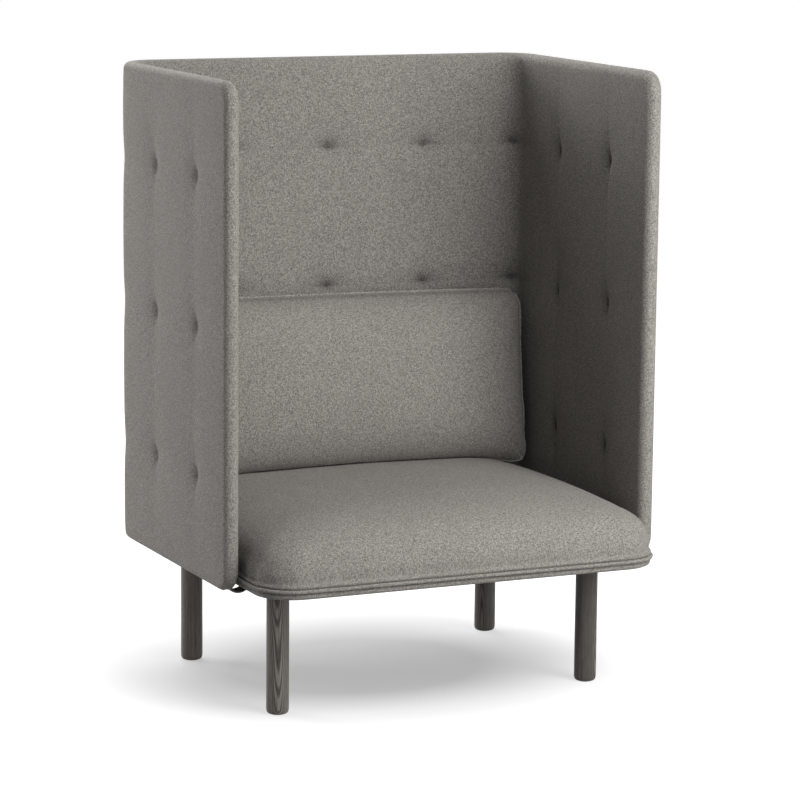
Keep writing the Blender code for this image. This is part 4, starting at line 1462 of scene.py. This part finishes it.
def seam():
    tube = swept_tube("seam_path", seam_places(), SEAM_RADIUS, SEAM_WAVER, rounds=8)
    # The roll is painted paler, as a painted highlight.
    wear_and_painted_light = tube.verts.layers.float.new("wear_and_painted_light")
    for vert in tube.verts:
        vert[wear_and_painted_light] = SEAM_PAINTED_HIGHLIGHT
    roll = piece("lumbar_seam", tube, lumbar_wool, body="lumbar", crease=80.0)
    print("seam:", len(roll.data.polygons), "faces")


seam()

# %% [markdown]
# ## Turned legs and glides
#
# A leg is turned from one square of ash and sanded round, and its lower end is rounded over. The
# profile is spun round the upright axis; the bores for the hanger bolt and for the nail of the glide
# are part of the profile. The glide is a moulded disc with a soft rim. It sits in a recess, so that
# the leg seems to stand on the floor itself.

# %% Legs
LEG_RADIUS = (LEG_HIGH.x - LEG_LOW.x) / 2
LEG_STEP = 0.04
LEG_EASE = 0.002
LEG_ROUND = 0.0060
LEG_ROUND_HEIGHT = 0.0120
FOOT_RIM = 0.0015
FOOT_RECESS = 0.0176
BORE = 0.0043
BORE_DEPTH = 0.0303
NAIL_BORE = 0.0018
NAIL_DEPTH = 0.0160
NAIL_RADIUS = 0.0015
NAIL_TIP = 0.0011
NAIL_POINT = 0.003
CORNERS = ("front_left", "front_right", "rear_left", "rear_right")


def turned(profile, place, steps=64):
    """Spin (radius, height) points round an upright line into a closed body."""
    bm = bmesh.new()
    points = [bm.verts.new((place.x + radius, place.y, height)) for radius, height in profile]
    edges = [bm.edges.new(pair) for pair in zip(points, points[1:])]
    bmesh.ops.spin(bm, geom=points + edges, cent=(place.x, place.y, 0.0), axis=(0.0, 0.0, 1.0),
                   dvec=(0.0, 0.0, 0.0), angle=2 * math.pi, steps=steps, use_merge=True)
    bmesh.ops.remove_doubles(bm, verts=bm.verts, dist=1e-6)
    bmesh.ops.recalc_face_normals(bm, faces=bm.faces)
    return bm


def eased(first, corner, last, share, steps=4):
    """Points that ease a corner of a profile: a short curve near it instead of the corner."""
    start = Vector(corner).lerp(Vector(first), share)
    end = Vector(corner).lerp(Vector(last), share)
    points = []
    for k in range(steps + 1):
        part = k / steps
        points.append(tuple(start.lerp(Vector(corner), part).lerp(Vector(corner).lerp(end, part), part)))
    return points


def leg_profile():
    top = LEG_HIGH.z
    foot = LEG_LOW.z
    profile = [(0.0, top - BORE_DEPTH), (BORE, top - BORE_DEPTH), (BORE, top)]
    profile += eased((LEG_RADIUS - LEG_EASE, top), (LEG_RADIUS, top), (LEG_RADIUS, top - LEG_EASE), 0.6)
    profile += [(LEG_RADIUS, top - LEG_STEP - LEG_STEP * k) for k in range(6)]
    rim = LEG_RADIUS - LEG_ROUND
    shoulder = FOOT_RIM + LEG_ROUND_HEIGHT
    profile += eased((LEG_RADIUS, shoulder), (LEG_RADIUS, FOOT_RIM), (rim, FOOT_RIM), 1.0, 9)
    profile += [(FOOT_RECESS, FOOT_RIM), (FOOT_RECESS, foot), (NAIL_BORE, foot)]
    return profile + [(NAIL_BORE, foot + NAIL_DEPTH), (0.0, foot + NAIL_DEPTH)]


def legs():
    for corner in CORNERS:
        body = turned(leg_profile(), middle_of("leg_" + corner))
        piece("ash_leg_" + corner, body, ash,
              stands_for=("leg_" + corner,), crease=35.0)


def glides():
    low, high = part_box("glide_front_right")
    radius = (high.x - low.x) / 2
    flange = LEG_LOW.z - CLEARANCE
    profile = [(0.0, high.z), (NAIL_TIP, high.z), (NAIL_RADIUS, high.z - NAIL_POINT),
               (NAIL_RADIUS, flange)]
    profile += eased((radius - 0.002, flange), (radius, flange), (radius, flange - 0.002), 0.5)
    profile += eased((radius, 0.003), (radius, 0.0), (radius - 0.003, 0.0), 0.9)
    profile += [(0.0, 0.0)]
    for corner in CORNERS:
        body = turned(profile, middle_of("glide_" + corner), 48)
        piece("foot_glide_" + corner, body, plastic,
              stands_for=("glide_" + corner,), crease=35.0)


legs()
glides()
print("turned:", len(CORNERS), "legs and as many glides")

# %% [markdown]
# ## Bolts
#
# The bolts that hold the straps have low round heads with a six-sided socket for the key. All of
# them are spun from one profile, and the sockets are cut together.

# %% Bolts
BOLT_NODES = [name for name in frame["nodes"] if "_bolt_" in name and not name.startswith("hanger")]
BOLT_RADIUS = 0.003
BOLT_HEAD = 0.0035
SOCKET_REACH = 0.0023
SOCKET_DEPTH = 0.0020


def bolt(low, high):
    """One bolt, head down, that fills a box."""
    head = (high.x - low.x) / 2
    under = low.z + BOLT_HEAD
    profile = [(0.0, high.z), (BOLT_RADIUS - 0.0006, high.z), (BOLT_RADIUS, high.z - 0.0008),
               (BOLT_RADIUS, under)]
    profile += eased((head - 0.001, under), (head, under), (head, under - 0.001), 0.4, 2)
    profile += eased((head, under - 0.001), (head, low.z), (head - 0.0025, low.z), 0.9, 5)
    profile += [(0.0, low.z)]
    return turned(profile, (low + high) / 2, 32)


def sockets():
    """Six-sided rods at all the heads, to cut the sockets with."""
    bm = bmesh.new()
    for name in BOLT_NODES:
        low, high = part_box(name)
        middle = (low + high) / 2
        made = bmesh.ops.create_cone(bm, cap_ends=True, segments=6, radius1=SOCKET_REACH,
                                     radius2=SOCKET_REACH, depth=2 * SOCKET_DEPTH)
        bmesh.ops.translate(bm, verts=made["verts"], vec=(middle.x, middle.y, low.z))
    return bm


def strap_bolts():
    together = bmesh.new()
    for name in BOLT_NODES:
        bm = bolt(*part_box(name))
        mesh = bpy.data.meshes.new("bolt")
        bm.to_mesh(mesh)
        bm.free()
        together.from_mesh(mesh)
        bpy.data.meshes.remove(mesh)
    bolts = piece("strap_bolts", together, zinc, stands_for=BOLT_NODES)
    cut(bolts, sockets())
    smooth(bolts, 35.0)
    return bolts


bolts = strap_bolts()
print("bolts:", len(BOLT_NODES), "with", len(bolts.data.polygons), "faces")

# %% [markdown]
# ## Solids that stay
#
# Straps, leg plates, hanger bolts, deck and core are hard and plain, and the solids already have
# their shape. They only get a finish.

# %% Kept solids
STAYING = {"strap_": coat, "leg_plate_": coat, "hanger_bolt_": zinc,
           "seat_deck": board, "screen_core": board}

for name, node in frame["nodes"].items():
    for start, finish in STAYING.items():
        if name.startswith(start):
            node.data.materials.clear()
            node.data.materials.append(finish)
print("solids that stay:", sum(name.startswith(tuple(STAYING)) for name in frame["nodes"]))

# %% [markdown]
# ## The studio
#
# The photograph has a white ground with only a soft shadow. A large soft light stands in front, to
# the right and above, with two smaller ones below it that reach under the screen's top. Another one
# behind to the left grazes the outer side of the screen and draws the tufts there, a weak one fills
# the left front edge, and one high behind lights the top edges. The floor shines only for the camera
# and in reflections, a little near the chair and fully further out, so that the ground turns white.
# The weaker glow in an ellipse round the chair is a painted shadow. Together with the shadow that the
# lamps cast between the legs, it makes the dark patch under the chair. The world is white in the same
# way and gives no light.

# %% Floor
REFLECTED_RAYS = ("Is Glossy Ray", "Is Transmission Ray")
FLOOR_GREY = (0.26, 0.26, 0.26, 1.0)
FLOOR_HALF = 60.0
GLOW_SQUEEZE = (1.6, 2.0, 1.0)
GLOW_SHIFT = (0.08, -0.16, 0.0)
GLOW_START = 0.45
GLOW_END = 1.25
GLOW_IN_PAINTED_SHADOW = 0.36


def studio_floor():
    """A grey floor with a glow that grows outward from the chair in an ellipse; the weaker glow near the
    chair is a painted shadow.
    """
    finish = Finish("studio_floor")
    seen = finish.add("LightPath", out="Is Camera Ray")
    for ray in REFLECTED_RAYS:
        seen = seen.sum("MAXIMUM", seen, finish.add("LightPath", out=ray))
    place = finish.place(GLOW_SQUEEZE)
    spot = finish.add("VectorMath", {"operation": "ADD"}, {0: place, 1: GLOW_SHIFT})
    far = finish.add("VectorMath", {"operation": "LENGTH"}, {0: spot}, out=1)
    # Near the chair the glow is weaker, which paints a shadow under it.
    glow = seen * (GLOW_IN_PAINTED_SHADOW + finish.between(far, GLOW_START, GLOW_END) * (1.0 - GLOW_IN_PAINTED_SHADOW))
    finish.set(emission_color=finish.add("CombineColor", {}, {0: glow, 1: glow, 2: glow}))
    finish.fix({"Base Color": FLOOR_GREY, "Roughness": 0.9, "Specular IOR Level": 0.0,
                "Emission Strength": 1.0})
    bm = bmesh.new()
    bmesh.ops.create_grid(bm, x_segments=1, y_segments=1, size=FLOOR_HALF)
    floor = mesh_object("studio_floor", bm)
    floor.data.materials.append(finish.material)


studio_floor()
print("floor reaches", FLOOR_HALF, "m to each side")

# %% World and lamps
AIM = Vector((0.0, 0.0, 0.6))
LAMPS = (
    ("key_light", (0.70, -3.0, 4.1), 2.0, 138.0),
    ("side_light", (1.6, -2.2, 2.0), 1.4, 28.0),
    ("low_light", (0.9, -2.4, 1.0), 1.4, 42.0),
    ("grazing_light", (-2.6, 2.8, 1.6), 1.8, 104.0),
    ("fill_light", (-3.4, -0.2, 1.4), 1.4, 16.0),
    ("rear_light", (0.0, 3.0, 3.6), 2.4, 160.0),
)


def softbox(name, place, size, power):
    """A square lamp of a size in metres and a power in watts, turned to the chair."""
    lamp = bpy.data.lights.new(name, "AREA")
    lamp.shape = "SQUARE"
    lamp.size = size
    lamp.energy = power
    holder = bpy.data.objects.new(name, lamp)
    holder.location = place
    holder.rotation_euler = (AIM - Vector(place)).to_track_quat("-Z", "Y").to_euler()
    scene.collection.objects.link(holder)


def studio_world():
    """White to the camera and in reflections, dark to all other rays."""
    world = bpy.data.worlds.new("studio")
    scene.world = world
    world.use_nodes = True
    nodes = world.node_tree.nodes
    links = world.node_tree.links
    path = nodes.new("ShaderNodeLightPath")
    seen = path.outputs["Is Camera Ray"]
    for ray in REFLECTED_RAYS:
        either = nodes.new("ShaderNodeMath")
        either.operation = "MAXIMUM"
        links.new(seen, either.inputs[0])
        links.new(path.outputs[ray], either.inputs[1])
        seen = either.outputs[0]
    nodes["Background"].inputs["Color"].default_value = (1.0, 1.0, 1.0, 1.0)
    links.new(seen, nodes["Background"].inputs["Strength"])


studio_world()
for lamp in LAMPS:
    softbox(*lamp)
scene.view_settings.view_transform = "Standard"
print("world and soft lamps:", len(LAMPS))

# %% [markdown]
# ## The last call
#
# The last call brings the scene up to date.

# %% The last call
bpy.context.view_layer.update()
